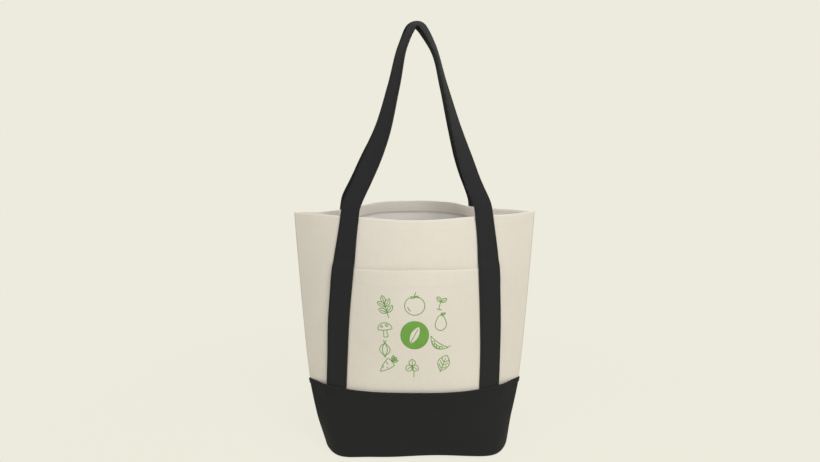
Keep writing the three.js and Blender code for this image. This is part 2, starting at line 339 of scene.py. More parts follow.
def effect(name: str, inputs: dict[str, str], outputs: Sequence[str],
           fill: Callable[[Nodes, bpy.types.Node], dict[str, Socket]]) -> bpy.types.NodeTree:
    """Makes a shared effect once, as a node group with named sockets.

    Args:
        name: the group's name.
        inputs: each input's name and whether it is a "Vector" or a "Float".
        outputs: the names of the outputs, each one a number.
        fill: adds the nodes, and gives the socket that feeds each output.

    Returns:
        The group.
    """
    found = bpy.data.node_groups.get(name)
    if found:
        return found
    group = bpy.data.node_groups.new(name, "ShaderNodeTree")
    for socket, kind in inputs.items():
        group.interface.new_socket(socket, in_out="INPUT", socket_type="NodeSocket" + kind)
    for socket in outputs:
        group.interface.new_socket(socket, in_out="OUTPUT", socket_type="NodeSocketFloat")
    nodes = Nodes(group)
    start = group.nodes.new("NodeGroupInput")
    end = group.nodes.new("NodeGroupOutput")
    for socket, value in fill(nodes, start).items():
        group.links.new(value, end.inputs[socket])
    return group


def weave() -> bpy.types.NodeTree:
    """Plain weave with uneven yarns.

    The height is half the product of two sines, one across the warp and one across the weft, so
    that yarns go over and under by turns, with the furrow between yarns as the root of the
    product of both sines' sizes. Slubs are noise drawn out along each yarn direction. Flecks are
    the few peaks of a fine noise.

    Returns:
        The group, with Height, Slub and Fleck outputs.
    """

    def fill(nodes: Nodes, start: bpy.types.Node) -> dict[str, Socket]:
        """Adds the nodes of the weave.

        Args:
            nodes: the group's tree.
            start: its input node.

        Returns:
            The socket that feeds each output.
        """
        cloth, pitch = start.outputs["Cloth"], start.outputs["Pitch"]
        wander = nodes.add("TexNoise", {"Vector": cloth, "Scale": 90.0, "Detail": 1.0})
        bent = nodes.add("VectorMath", {0: wander.outputs["Color"], 1: (0.0006, 0.0006, 0.0)},
                         operation="MULTIPLY")
        placed = nodes.add("VectorMath", {0: cloth, 1: bent.outputs[0]}, operation="ADD")
        split = nodes.add("SeparateXYZ", {0: placed.outputs[0]})
        waves = []
        for axis in (0, 1):
            turns = nodes.math("DIVIDE", split.outputs[axis], pitch)
            waves.append(nodes.math("SINE", nodes.math("MULTIPLY", turns, math.pi)))
        product = nodes.math("MULTIPLY", waves[0], waves[1])
        furrow = nodes.math("SQRT", nodes.math("ABSOLUTE", product))
        height = nodes.math("MULTIPLY_ADD", product, 0.35, nodes.math("MULTIPLY", furrow, 0.65))
        along = nodes.noise(nodes.stretch(cloth, (35.0, 700.0, 1.0)), 1.0, 1.5)
        across = nodes.noise(nodes.stretch(cloth, (620.0, 28.0, 1.0)), 1.0, 1.5)
        slub = nodes.math("ADD", nodes.math("MULTIPLY", along, 0.5), nodes.math("MULTIPLY", across, 0.5))
        fleck = nodes.span(nodes.noise(nodes.stretch(cloth, (420.0, 620.0, 1.0)), 1.0, 0.0),
                           0.80, 0.86, 0.0, 1.0)
        return {"Height": height, "Slub": slub, "Fleck": fleck}

    return effect("canvas_weave", {"Cloth": "Vector", "Pitch": "Float"},
                  ("Height", "Slub", "Fleck"), fill)


def handling() -> bpy.types.NodeTree:
    """Marks of use: soft patches over the whole cloth, and rubbed edges.

    Patches are two sizes of noise added. Rub is the edge mask times a broken noise.

    Returns:
        The group, with Patch and Rub outputs.
    """

    def fill(nodes: Nodes, start: bpy.types.Node) -> dict[str, Socket]:
        """Adds the nodes of the marks.

        Args:
            nodes: the group's tree.
            start: its input node.

        Returns:
            The socket that feeds each output.
        """
        place, edge = start.outputs["Place"], start.outputs["Edge"]
        wide, close = nodes.noise(place, 9.0, 3.0), nodes.noise(place, 55.0, 4.0)
        patch = nodes.math("ADD", nodes.math("MULTIPLY", wide, 0.6), nodes.math("MULTIPLY", close, 0.4))
        broken = nodes.span(nodes.noise(place, 260.0, 3.0), 0.38, 0.66, 0.0, 1.0)
        return {"Patch": patch, "Rub": nodes.math("MULTIPLY", edge, broken)}

    return effect("handling_marks", {"Place": "Vector", "Edge": "Float"}, ("Patch", "Rub"), fill)


@dataclass(frozen=True)
class Finish:
    """A surface finish: a colour and how rough it is."""

    name: str
    colour: Colour
    roughness: float = 0.9

    def material(self) -> bpy.types.Material:
        """The finish's material, made the first time that it is asked for.

        Returns:
            The material.
        """
        found = bpy.data.materials.get(self.name)
        if found:
            return found
        made = bpy.data.materials.new(self.name)
        made.use_nodes = True
        made.diffuse_color = linear(self.colour)
        nodes = Nodes(made.node_tree)
        surface = nodes.add("BsdfPrincipled", {"Roughness": self.roughness})
        surface.inputs["Specular IOR Level"].default_value = 0.25
        self.dress(nodes, surface)
        nodes.add("OutputMaterial", {"Surface": surface.outputs[0]})
        return made

    def dress(self, nodes: Nodes, surface: bpy.types.Node) -> None:
        """Adds the finish's own nodes in front of the surface shader."""
        raise NotImplementedError

    def dip(self, colour: Colour, light: float) -> tuple[float, float, float, float]:
        """A colour with its linear light scaled."""
        return (*(channel * light for channel in linear(colour)[:3]), 1.0)


@dataclass(frozen=True)
class Canvas(Finish):
    """Woven canvas: yarn colour with slubs, flecks, soft patches and rubbed edges, painted shade in the
    furrows, and a painted lighter tone on the inside faces.
    """

    # Colour of the inside faces: painted light, lighter and greyer than the outer face, in place of how the
    # inside is lit.
    inner: Colour = (250, 246, 242)
    pitch: float = CANVAS_PITCH
    relief: float = 0.16 * MM
    slub: float = 0.022
    fleck: float = 0.35
    rub: float = 0.3
    sheen: float = 0.15
    fuzz: Colour = (235, 228, 214)

    def dress(self, nodes: Nodes, surface: bpy.types.Node) -> None:
        """Adds the weave, the marks of use, painted shade in the weave's furrows and the painted light of the
        inside faces.

        Args:
            nodes: the material's tree.
            surface: its surface shader.
        """
        cloth = nodes.add("UVMap", uv_map=CLOTH_MAP).outputs[0]
        place = nodes.add("TexCoord").outputs["Object"]
        edge = nodes.add("Attribute", attribute_name=EDGE_MASK).outputs["Fac"]
        inside = nodes.add("Attribute", attribute_name=INSIDE_MASK).outputs["Fac"]
        yarn = nodes.add("Group", {"Cloth": cloth, "Pitch": self.pitch}, node_tree=weave())
        marks = nodes.add("Group", {"Place": place, "Edge": edge}, node_tree=handling())
        slub = nodes.span(yarn.outputs["Slub"], 0.32, 0.68, 0.0, 1.0)
        low, high = 1 - self.slub, 1 + self.slub
        outer = nodes.mix(slub, self.dip(self.colour, low), self.dip(self.colour, high))
        # Painted light: the inside faces take a lighter, greyer copy of the cloth's colour in place of their
        # own lighting.
        painted_inside_light = nodes.mix(slub, self.dip(self.inner, low), self.dip(self.inner, high))
        shade = nodes.mix(inside, outer, painted_inside_light)
        patch = nodes.span(marks.outputs["Patch"], 0.35, 0.65, 0.0, 0.08)
        shade = nodes.mix(patch, shade, self.dip(self.colour, 0.62))
        dark = nodes.math("MULTIPLY", yarn.outputs["Fleck"], self.fleck)
        shade = nodes.mix(dark, shade, self.dip(self.colour, 0.35))
        # Painted shade: the furrows between yarns are darkened in the colour as well as sunk by the bump.
        furrow = nodes.span(yarn.outputs["Height"], 0.05, 0.55, 0.14, 0.0)
        shade = nodes.mix(furrow, shade, self.dip(self.colour, 0.5))
        shade = nodes.mix(nodes.math("MULTIPLY", marks.outputs["Rub"], self.rub), shade, linear(self.fuzz))
        nodes.tree.links.new(shade, surface.inputs["Base Color"])
        rough = nodes.span(slub, 0.0, 1.0, self.roughness - 0.06, self.roughness + 0.06)
        nodes.tree.links.new(rough, surface.inputs["Roughness"])
        surface.inputs["Sheen Weight"].default_value = self.sheen
        surface.inputs["Sheen Roughness"].default_value = 0.5
        surface.inputs["Sheen Tint"].default_value = linear(self.fuzz)
        lumps = nodes.math("MULTIPLY_ADD", slub, 0.3, yarn.outputs["Height"])
        nodes.emboss(surface, lumps, self.relief, 0.8)


@dataclass(frozen=True)
class Yarn(Finish):
    """Sewing thread: a twisted ply with a slight shine, a little change of tone, and painted shade in the
    ply's grooves.
    """

    ply: float = 900.0
    relief: float = 0.05 * MM

    def dress(self, nodes: Nodes, surface: bpy.types.Node) -> None:
        """Adds the ply's slanting bands, painted as shade in the colour and raised as bumps, and the change
        of tone along the seam.

        Args:
            nodes: the material's tree.
            surface: its surface shader.
        """
        place = nodes.add("TexCoord").outputs["Object"]
        bands = nodes.add("TexWave", {"Vector": place, "Scale": self.ply, "Distortion": 1.5},
                          bands_direction="DIAGONAL")
        tone = nodes.noise(place, 120.0, 2.0)
        # Painted shade: the colour darkens with the ply bands' low points, mixed with a real change of tone.
        share = nodes.math("MULTIPLY_ADD", bands.outputs["Fac"], 0.4, nodes.math("MULTIPLY", tone, 0.6))
        shade = nodes.mix(share, self.dip(self.colour, 0.75), self.dip(self.colour, 1.2))
        nodes.tree.links.new(shade, surface.inputs["Base Color"])
        nodes.emboss(surface, bands.outputs["Fac"], self.relief, 0.6)
        surface.inputs["Sheen Weight"].default_value = 0.1


@dataclass(frozen=True)
class Tape(Finish):
    """Binding tape: twill ribs across the tape, with painted shade along them."""

    rib: float = 1.1 * MM
    relief: float = 0.12 * MM

    def dress(self, nodes: Nodes, surface: bpy.types.Node) -> None:
        """Adds slanting twill ribs, also painted as shade in the colour, and a change of tone along the tape.

        Args:
            nodes: the material's tree.
            surface: its surface shader.
        """
        cloth = nodes.add("UVMap", uv_map=CLOTH_MAP).outputs[0]
        place = nodes.add("TexCoord").outputs["Object"]
        ribs = nodes.add("TexWave", {"Vector": cloth, "Scale": 0.31 / self.rib, "Distortion": 0.6},
                         bands_direction="DIAGONAL")
        # Painted shade: the colour darkens with the ribs' low points, mixed with a real change of tone.
        share = nodes.math("MULTIPLY_ADD", ribs.outputs["Fac"], 0.5,
                           nodes.math("MULTIPLY", nodes.noise(place, 70.0), 0.5))
        shade = nodes.mix(share, self.dip(self.colour, 0.8), self.dip(self.colour, 1.1))
        nodes.tree.links.new(shade, surface.inputs["Base Color"])
        nodes.emboss(surface, ribs.outputs["Fac"], self.relief, 0.7)


@dataclass(frozen=True)
class Ink(Finish):
    """Printed ink: it sits in the weave, and misses the deepest furrows and a few flecks."""

    ground: Colour = (222, 213, 195)
    pitch: float = CANVAS_PITCH
    relief: float = 0.12 * MM

    def dress(self, nodes: Nodes, surface: bpy.types.Node) -> None:
        """Adds the weave under the ink and the places that the ink misses.

        Args:
            nodes: the material's tree.
            surface: its surface shader.
        """
        cloth = nodes.add("UVMap", uv_map=CLOTH_MAP).outputs[0]
        place = nodes.add("TexCoord").outputs["Object"]
        yarn = nodes.add("Group", {"Cloth": cloth, "Pitch": self.pitch}, node_tree=weave())
        mottle = nodes.noise(place, 60.0, 3.0)
        tone = nodes.mix(mottle, self.dip(self.colour, 0.88), self.dip(self.colour, 1.12))
        missed = nodes.span(yarn.outputs["Height"], 0.0, 0.22, 0.30, 0.0)
        shade = nodes.mix(missed, tone, linear(self.ground))
        nodes.tree.links.new(shade, surface.inputs["Base Color"])
        nodes.emboss(surface, yarn.outputs["Height"], self.relief, 0.7)


@dataclass(frozen=True)
class Paper(Finish):
    """Studio paper lit so evenly that it hardly shows a shadow. It fades out with distance."""

    near: float = 0.25
    far: float = 0.8
    glow: float = 0.93
    shadow: float = 0.07

    def dress(self, nodes: Nodes, surface: bpy.types.Node) -> None:
        """Adds the glow, a share of plain paper with a faint mottle, and the fade as an alpha.

        Args:
            nodes: the material's tree.
            surface: its surface shader.
        """
        place = nodes.add("TexCoord").outputs["Object"]
        grain = nodes.noise(place, 40.0, 2.0)
        low, high = self.shadow, self.shadow * 1.02
        shade = nodes.mix(grain, self.dip(self.colour, low), self.dip(self.colour, high))
        nodes.tree.links.new(shade, surface.inputs["Base Color"])
        surface.inputs["Specular IOR Level"].default_value = 0.0
        surface.inputs["Emission Color"].default_value = linear(self.colour)
        surface.inputs["Emission Strength"].default_value = self.glow
        away = nodes.add("VectorMath", {0: place}, operation="LENGTH").outputs["Value"]
        nodes.tree.links.new(nodes.span(away, self.near, self.far, 1.0, 0.0), surface.inputs["Alpha"])


NATURAL = Canvas("undyed_cloth", (223, 216, 202), rub=0.2)
BLACK = Canvas("dyed_cloth", (31, 31, 31), inner=(31, 31, 31), slub=0.16, fleck=0.0, rub=0.06,
               sheen=0.04, fuzz=(120, 118, 114), relief=0.14 * MM)
STRAP_BLACK = Canvas("dyed_strap_cloth", (34, 35, 35), inner=(34, 35, 35), slub=0.16, fleck=0.0,
                     rub=0.12, sheen=0.14, fuzz=(120, 118, 114), pitch=0.8 * MM, relief=0.12 * MM)
NATURAL_THREAD = Yarn("undyed_sewing_thread", (221, 213, 198), 0.7)
# Painted shade: the undyed thread darkened to stand for the shade along the hem inside the bag.
SHADE_DARKENED_HEM_THREAD = Yarn("shade_darkened_hem_thread", (150, 142, 128), 0.7)
# Dyed thread, made darker than the strap cloth partly as painted shade along the stitch lines.
BLACK_THREAD = Yarn("dyed_and_shade_darkened_thread", (15, 15, 16), 0.7)
BINDING = Tape("seam_tape_cloth", (206, 196, 176))
GREEN = Ink("green_ink", (104, 156, 60), 0.75)
FLOOR = Paper("studio_paper", (237, 235, 221), 0.95)


# ---------------------------------------------------------------------------------------------
# Form


@dataclass
class BagForm:
    """The bag's lofted form, and how its cloth hangs on it.

    The section at each height is a front curve whose depth falls with a power of the share of
    the way to the side seam. The power is high at the bottom, which makes a box, and two at the
    rim, which makes a lens.
    """

    height: float
    rim_width: float
    rim_depth: float = 104 * MM
    bottom_width: float = 304 * MM
    bottom_depth: float = 100 * MM
    belly: float = 15 * MM
    flare: float = 2.3
    waist: float = 4.2 * MM
    rim_fullness: float = 2.0
    bottom_fullness: float = 12.0
    fullness_fade: float = 0.12
    base_height: float = 124 * MM
    base_lap: float = 12 * MM
    rim_sag: float = 3.5 * MM
    sag_reach: float = 66 * MM
    sag_core: float = 50 * MM
    rim_rise: float = 8.5 * MM
    rise_reach: float = 88 * MM
    rise_fall: float = 170 * MM
    foot_push: float = 3.5 * MM
    broad_wave: float = 1.5 * MM
    cross_wave: float = 0.8 * MM
    pucker_wave: float = 0.75 * MM
    pucker_run: float = 50 * MM
    drag_wave: float = 0.55 * MM
    drag_place: float = 155 * MM
    drag_width: float = 30 * MM
    table_rows: int = 410
    table_columns: int = 401

    def __post_init__(self) -> None:
        """Works out the table of places by height and by share of the way round a quarter."""
        self.levels = np.linspace(0.0, self.height, self.table_rows)
        a, b, p = self.section(self.levels)
        share = 1.0 - (1.0 - np.linspace(0.0, 1.0, self.table_columns)) ** 3
        x = a[:, None] * share
        y = -b[:, None] * (1.0 - share ** p[:, None])
        step = np.hypot(np.diff(x), np.diff(y))
        reach = np.concatenate([np.zeros((len(x), 1)), np.cumsum(step, 1)], 1)
        self.quarters = reach[:, -1]
        even = np.linspace(0.0, 1.0, self.table_columns)
        rows = [np.interp(even, r / r[-1], share) for r in reach]
        self.table = np.stack(rows)

    def section(self, z: Array) -> tuple[Array, Array, Array]:
        """The section at a height.

        Args:
            z: heights.

        Returns:
            Half width, half depth and fullness.
        """
        t = np.clip(np.asarray(z, float) / self.height, 0.0, 1.0)
        spread = 1.0 - (1.0 - t) ** self.flare
        above = np.clip((z - self.base_height) / (self.height - self.base_height), 0.0, 1.0)
        a = (self.bottom_width + (self.rim_width - self.bottom_width) * spread) / 2
        a = a - self.waist * np.sin(math.pi * above)
        b = (self.bottom_depth + (self.rim_depth - self.bottom_depth) * t) / 2
        b = b + self.belly * 4 * t * (1 - t)
        p = self.rim_fullness + (self.bottom_fullness - self.rim_fullness) * np.exp(-t / self.fullness_fade)
        return a, b, p

    def quarter(self, z: Array) -> Array:
        """Distance round from a face's middle to the side seam at a height."""
        return np.interp(z, self.levels, self.quarters)

    def at(self, s: Array, z: Array, off: Array, face: Face) -> Array:
        """Points of a face, before its cloth's own hang is added.

        The share of the half width is read from the table between its nearest heights and
        shares. The outward direction is the slope of the section's curve, turned a quarter.

        Args:
            s: distances round from the face's middle.
            z: heights.
            off: distances off the form, outwards.
            face: which face.

        Returns:
            Points, in a last dimension of three.
        """
        s, z, off = np.broadcast_arrays(np.asarray(s, float), np.asarray(z, float), np.asarray(off, float))
        a, b, p = self.section(z)
        row = np.clip(z / self.height, 0.0, 1.0) * (self.table_rows - 1)
        column = np.clip(np.abs(s) / self.quarter(z), 0.0, 1.0) * (self.table_columns - 1)
        r0 = np.minimum(row.astype(int), self.table_rows - 2)
        c0 = np.minimum(column.astype(int), self.table_columns - 2)
        fr, fc = row - r0, column - c0
        low = self.table[r0, c0] * (1 - fc) + self.table[r0, c0 + 1] * fc
        high = self.table[r0 + 1, c0] * (1 - fc) + self.table[r0 + 1, c0 + 1] * fc
        share = low * (1 - fr) + high * fr
        slope = b * p * share ** (p - 1) / a
        length = np.hypot(slope, 1.0)
        x = np.sign(s) * (a * share + off * slope / length)
        y = -b * (1.0 - share ** p) - off / length
        return face.turn(np.stack([x, y, z], -1))

    def hang(self, s: Array, z: Array, face: Face) -> Array:
        """How far the cloth's own hang stands off the form.

        Broad waves are products of sines in the share round and the height. Puckers are short
        waves round the rim that die away downwards. Drag lines are slanting waves beside the
        straps. All die away at the side seams and towards the bottom.

        Args:
            s: distances round from the face's middle.
            z: heights.
            face: which face, which shifts the waves.

        Returns:
            Distances outwards.
        """
        turn = 0.0 if face is Face.FRONT else 2.1
        u = s / self.quarter(z)
        t = np.clip(z / self.height, 0.0, 1.02)
        free = (1.0 - np.abs(u) ** 5) * ease(t, 0.02, 0.22)
        broad = self.broad_wave * np.sin(3.3 * u + 0.9 + turn) * np.sin(2.6 * t + 0.4 + turn)
        broad += self.cross_wave * np.sin(7.4 * u - 2.2 * t + turn) * np.sin(5.1 * t + 1.0)
        drop = (1.0 - t) * self.height
        wander = 1.4 * np.sin(s / 0.031 + turn)
        pucker = self.pucker_wave * np.exp(-drop / self.pucker_run) * np.sin(s / 0.0093 + wander + turn)
        pucker *= 0.55 + 0.45 * np.sin(s / 0.043 + 0.7 + turn)
        beside = np.exp(-((np.abs(s) - self.drag_place) / self.drag_width) ** 2)
        lines = self.drag_wave * beside * np.sin(z / 0.017 + np.abs(s) / 0.011 + turn)
        lines *= ease(t, 0.25, 0.5) * ease(-t, -0.99, -0.8)
        return free * (broad + pucker + lines)

    def rim(self, s: Array, face: Face) -> Array:
        """Height of the rim: it sags between the straps in front and is drawn up at the back.

        The sag is a wide bell curve mixed with a narrow one. The rise is a flat-topped bell that
        falls from the middle by a square. Both ends wave a little, and the back dips by one seam.

        Args:
            s: distances round from the face's middle.
            face: which face.

        Returns:
            Heights.
        """
        ends = 0.8 * MM * np.sin(s / 0.03) * ease(np.abs(s), 0.12, 0.17)
        if face is Face.FRONT:
            bell = np.exp(-((s / self.sag_reach) ** 4)) * 0.55 + np.exp(-((s / self.sag_core) ** 2)) * 0.45
            return self.height - bell * self.rim_sag + ends
        bell = np.exp(-((np.abs(s) / self.rise_reach) ** 6))
        dip = 3 * MM * ease(s, 0.09, 0.12) * (1 - ease(s, 0.16, 0.19))
        return self.height + bell * self.rim_rise * (1 - (s / self.rise_fall) ** 2) + ends - dip

    def cloth(self, s: Array, z: Array, off: Array, face: Face) -> Array:
        """Points of a face that stand off its hanging cloth.

        Args:
            s: distances round from the face's middle.
            z: heights.
            off: distances off the cloth's outer face, outwards.
            face: which face.

        Returns:
            Points, in a last dimension of three.
        """
        return self.at(s, z, off + self.hang(s, z, face), face)


def smooth_through(knots: Array, steps: int = 40) -> Array:
    """A smooth curve through points.

    Each stretch is blended from straight lines between its four nearest points, whose places
    along the curve are spaced by the root of their distance. Both ends are carried on straight
    by one point more.

    Args:
        knots: the points in order.
        steps: how many points to work out on each stretch.

    Returns:
        Points along the curve, none of them twice.
    """
    ghost = np.concatenate([[2 * knots[0] - knots[1]], knots, [2 * knots[-1] - knots[-2]]])
    gaps = np.sqrt(np.linalg.norm(np.diff(ghost, axis=0), axis=1))
    when = np.concatenate([[0.0], np.cumsum(gaps)])
    pieces = []
    for i in range(1, len(ghost) - 2):
        t = np.linspace(when[i], when[i + 1], steps)[:, None]
        p, k = ghost[i - 1:i + 3], when[i - 1:i + 3]
        a = [(p[j] * (k[j + 1] - t) + p[j + 1] * (t - k[j])) / (k[j + 1] - k[j]) for j in range(3)]
        b = [(a[j] * (k[j + 2] - t) + a[j + 1] * (t - k[j])) / (k[j + 2] - k[j]) for j in range(2)]
        pieces.append((b[0] * (k[2] - t) + b[1] * (t - k[1])) / (k[2] - k[1]))
    line = np.concatenate(pieces)
    apart = np.linalg.norm(np.diff(line, axis=0), axis=1) > 1e-9
    return line[np.concatenate([[True], apart])]


def spread_to_ends(count: int, crowding: float) -> Array:
    """Shares from -1 to 1 that crowd towards both ends.

    The share is a straight run mixed with the sine of a quarter turn either way.

    Args:
        count: how many shares.
        crowding: 0 for even spacing and 1 for the most crowding.

    Returns:
        The shares in order.
    """
    v = np.linspace(-1.0, 1.0, count)
    return v * (1 - crowding) + np.sin(v * math.pi / 2) * crowding


def folded_profile(low: float, hem: float, cloth: float, doubled: float, rows: int,
                   round_rows: int = 8) -> tuple[Array, Array]:
    """Closed profile of a cloth wall with a hem folded in at its top.

    It runs up the outer face, round a half circle at the fold and down the inner face, which
    steps out to the single cloth below the hem.

    Args:
        low: height share at the foot.
        hem: height share where the hem ends.
        cloth: thickness of the single cloth.
        doubled: thickness of the hem.
        rows: rows up each face.
        round_rows: rows round the fold.

    Returns:
        Height shares up to 1 at the fold, and depths inwards from the outer face. A share above
        1 is the number of metres past the fold.
    """
    step, beside = 0.004, 0.012
    share = np.linspace(low, 1.0, rows)
    share = np.sort(np.append(share, [hem - beside, hem - step, hem + step, hem + beside]))
    inner_depth = cloth + (doubled - cloth) * ease(share, hem - step, hem + step)
    angle = np.linspace(0.0, math.pi, round_rows + 2)[1:-1]
    radius = doubled / 2
    heights = np.concatenate([share, 1.0 + radius * np.sin(angle), share[::-1]])
    depths = np.concatenate([np.zeros(len(share)), radius * (1 - np.cos(angle)), inner_depth[::-1]])
    return heights, depths


# ---------------------------------------------------------------------------------------------
# Stitches


@dataclass(frozen=True)
class Stitching:
    """A run of separate stitches, each a short thread that dips into the cloth at its ends."""

    pitch: float = 3.2 * MM
    length: float = 2.5 * MM
    radius: float = 0.36 * MM
    around: int = 6
    rings: int = 5
    taper: float = 0.9
    arch: float = 0.55
    sink: float = 0.15

    def rings_along(self, path: Array, up: Array) -> Array:
        """Rings of every stitch of a run.

        Stitch middles are spaced evenly along the path. Each stitch is a tube whose radius
        swells as the square root of a cosine and whose middle rises as a cosine, less a sink.

        Args:
            path: points along the run, on the cloth.
            up: outward directions at those points.

        Returns:
            Stitches by rings by points round by three.
        """
        reach = reach_along(path)
        middles = np.arange(self.pitch / 2, reach[-1] - self.pitch / 2, self.pitch)
        v = np.linspace(-0.5, 0.5, self.rings)
        places = middles[:, None] + v * self.length
        centre = read_along(places, reach, path)
        normal = unit(read_along(places, reach, up))
        along = unit(centre[:, -1:] - centre[:, :1])
        beside = unit(np.cross(normal, np.broadcast_to(along, normal.shape)))
        swell = np.sqrt(np.maximum(np.cos(v * math.pi * self.taper), 0.0))
        angle = np.linspace(0.0, 2 * math.pi, self.around, endpoint=False)
        width = self.radius * swell[:, None] * np.cos(angle)
        arch = self.arch * np.cos(v * math.pi)[:, None] - self.sink
        rise = self.radius * (swell[:, None] * np.sin(angle) + arch)
        return (centre[:, :, None] + beside[:, :, None] * width[None, :, :, None]
                + normal[:, :, None] * rise[None, :, :, None])

    def sew(self, name: str, runs: Sequence[tuple[Array, Array]], finish: Finish,
            slot: str) -> bpy.types.Object:
        """Sews several runs into one piece.

        Args:
            name: the piece's name.
            runs: path and outward directions of each run.
            finish: the thread's finish.
            slot: the record's material slot; not used.

        Returns:
            The object.
        """
        skin = Skin()
        for path, up in runs:
            skin.tubes(self.rings_along(path, up))
        return skin.make(name, finish)


def lifted(place: Callable[[float], Array]) -> tuple[Array, Array]:
    """A run's points, and its outward directions as the difference between two stand-offs.

    Args:
        place: gives the run's points at a distance off the cloth.

    Returns:
        Points on the cloth, and directions one unit long.
    """
    on = place(0.0)
    return on, unit(place(1.0 * MM) - on)


# ---------------------------------------------------------------------------------------------
# Sub-assemblies


@dataclass
class Body:
    """The natural canvas body: a front and a back panel, with a hem turned in at the rim."""

    form: BagForm
    canvas: float = 1.2 * MM
    hem_height: float = 18 * MM
    hem_shade: float = 0.75
    seam_gap: float = 0.02 * MM
    stitch_inset: float = 2 * MM
    stitch_ends: float = 9 * MM
    columns: int = 190
    rows: int = 96
    thread: Stitching = Stitching()

    def build(self, face: Face) -> bpy.types.Object:
        """Makes one panel.

        Heights run from inside the base to the rim, whose own height changes along it. The ends
        of both panels are held at the plane between them, where they are sewn together.

        Args:
            face: which panel.

        Returns:
            The panel.
        """
        form = self.form
        foot = form.base_height - form.base_lap
        tall = form.height - foot
        heights, depths = folded_profile(0.0, 1 - self.hem_height / tall, self.canvas,
                                         2 * self.canvas, self.rows)
        u = spread_to_ends(self.columns, 0.35)
        share = np.minimum(heights, 1.0)[:, None]
        rim = form.rim(u * form.quarter(form.height), face)[None, :]
        z = foot + (rim - foot) * share
        z = np.minimum(z, rim) + np.maximum(heights - 1.0, 0.0)[:, None]
        s = u[None, :] * form.quarter(z)
        points = face.turn(form.cloth(s, z, -depths[:, None], face))
        points[..., 1] = np.minimum(points[..., 1], -self.seam_gap)
        cloth = np.stack([s, z - FOLD_TAKE_UP * depths[:, None]], -1)
        # The inside mask gives the inside faces their painted lighter tone; the hem band takes back three
        # quarters of the outer colour, so it shows darker than the wall below.
        inner = ease(depths, 0.3 * self.canvas, self.canvas)
        hem = ease(depths, 1.2 * self.canvas, 1.8 * self.canvas)
        inside = (inner - self.hem_shade * hem)[:, None] * np.ones_like(s)
        edge = np.clip(1 - np.abs(rim - z) / WORN_EDGE, 0, 1) * (1 - 0.5 * inside)
        skin = Skin()
        skin.wall(face.turn(points), cloth, np.stack([edge, inside], -1))
        made = skin.make(f"{face.value}_body_panel", NATURAL)
        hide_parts(f"{face.value}_panel")
        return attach(made, "bag")

    def sew(self, face: Face) -> bpy.types.Object:
        """Sews the rim hem, through to both sides of the cloth.

        Args:
            face: which panel.

        Returns:
            The stitches.
        """
        form = self.form
        z0 = form.height - self.hem_height + self.stitch_inset
        s = np.linspace(-1, 1, 300) * (form.quarter(z0) - self.stitch_ends)
        z = z0 + (form.rim(s, face) - form.height) * 0.9
        inner = lifted(lambda off: form.cloth(s, z, -2 * self.canvas - off, face))
        outer = lifted(lambda off: form.cloth(s, z, off - 0.15 * MM, face))
        # The inner hem stitches wear the thread darkened as painted shade.
        made = self.thread.sew(f"{face.value}_hem_stitches", [inner], SHADE_DARKENED_HEM_THREAD, "natural_thread")
        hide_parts(f"{face.value}_hem_thread")
        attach(made, "bag")
        shown = self.thread.sew(f"{face.value}_hem_outer_stitches", [outer], NATURAL_THREAD, "natural_thread")
        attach(shown, "bag")
        return made


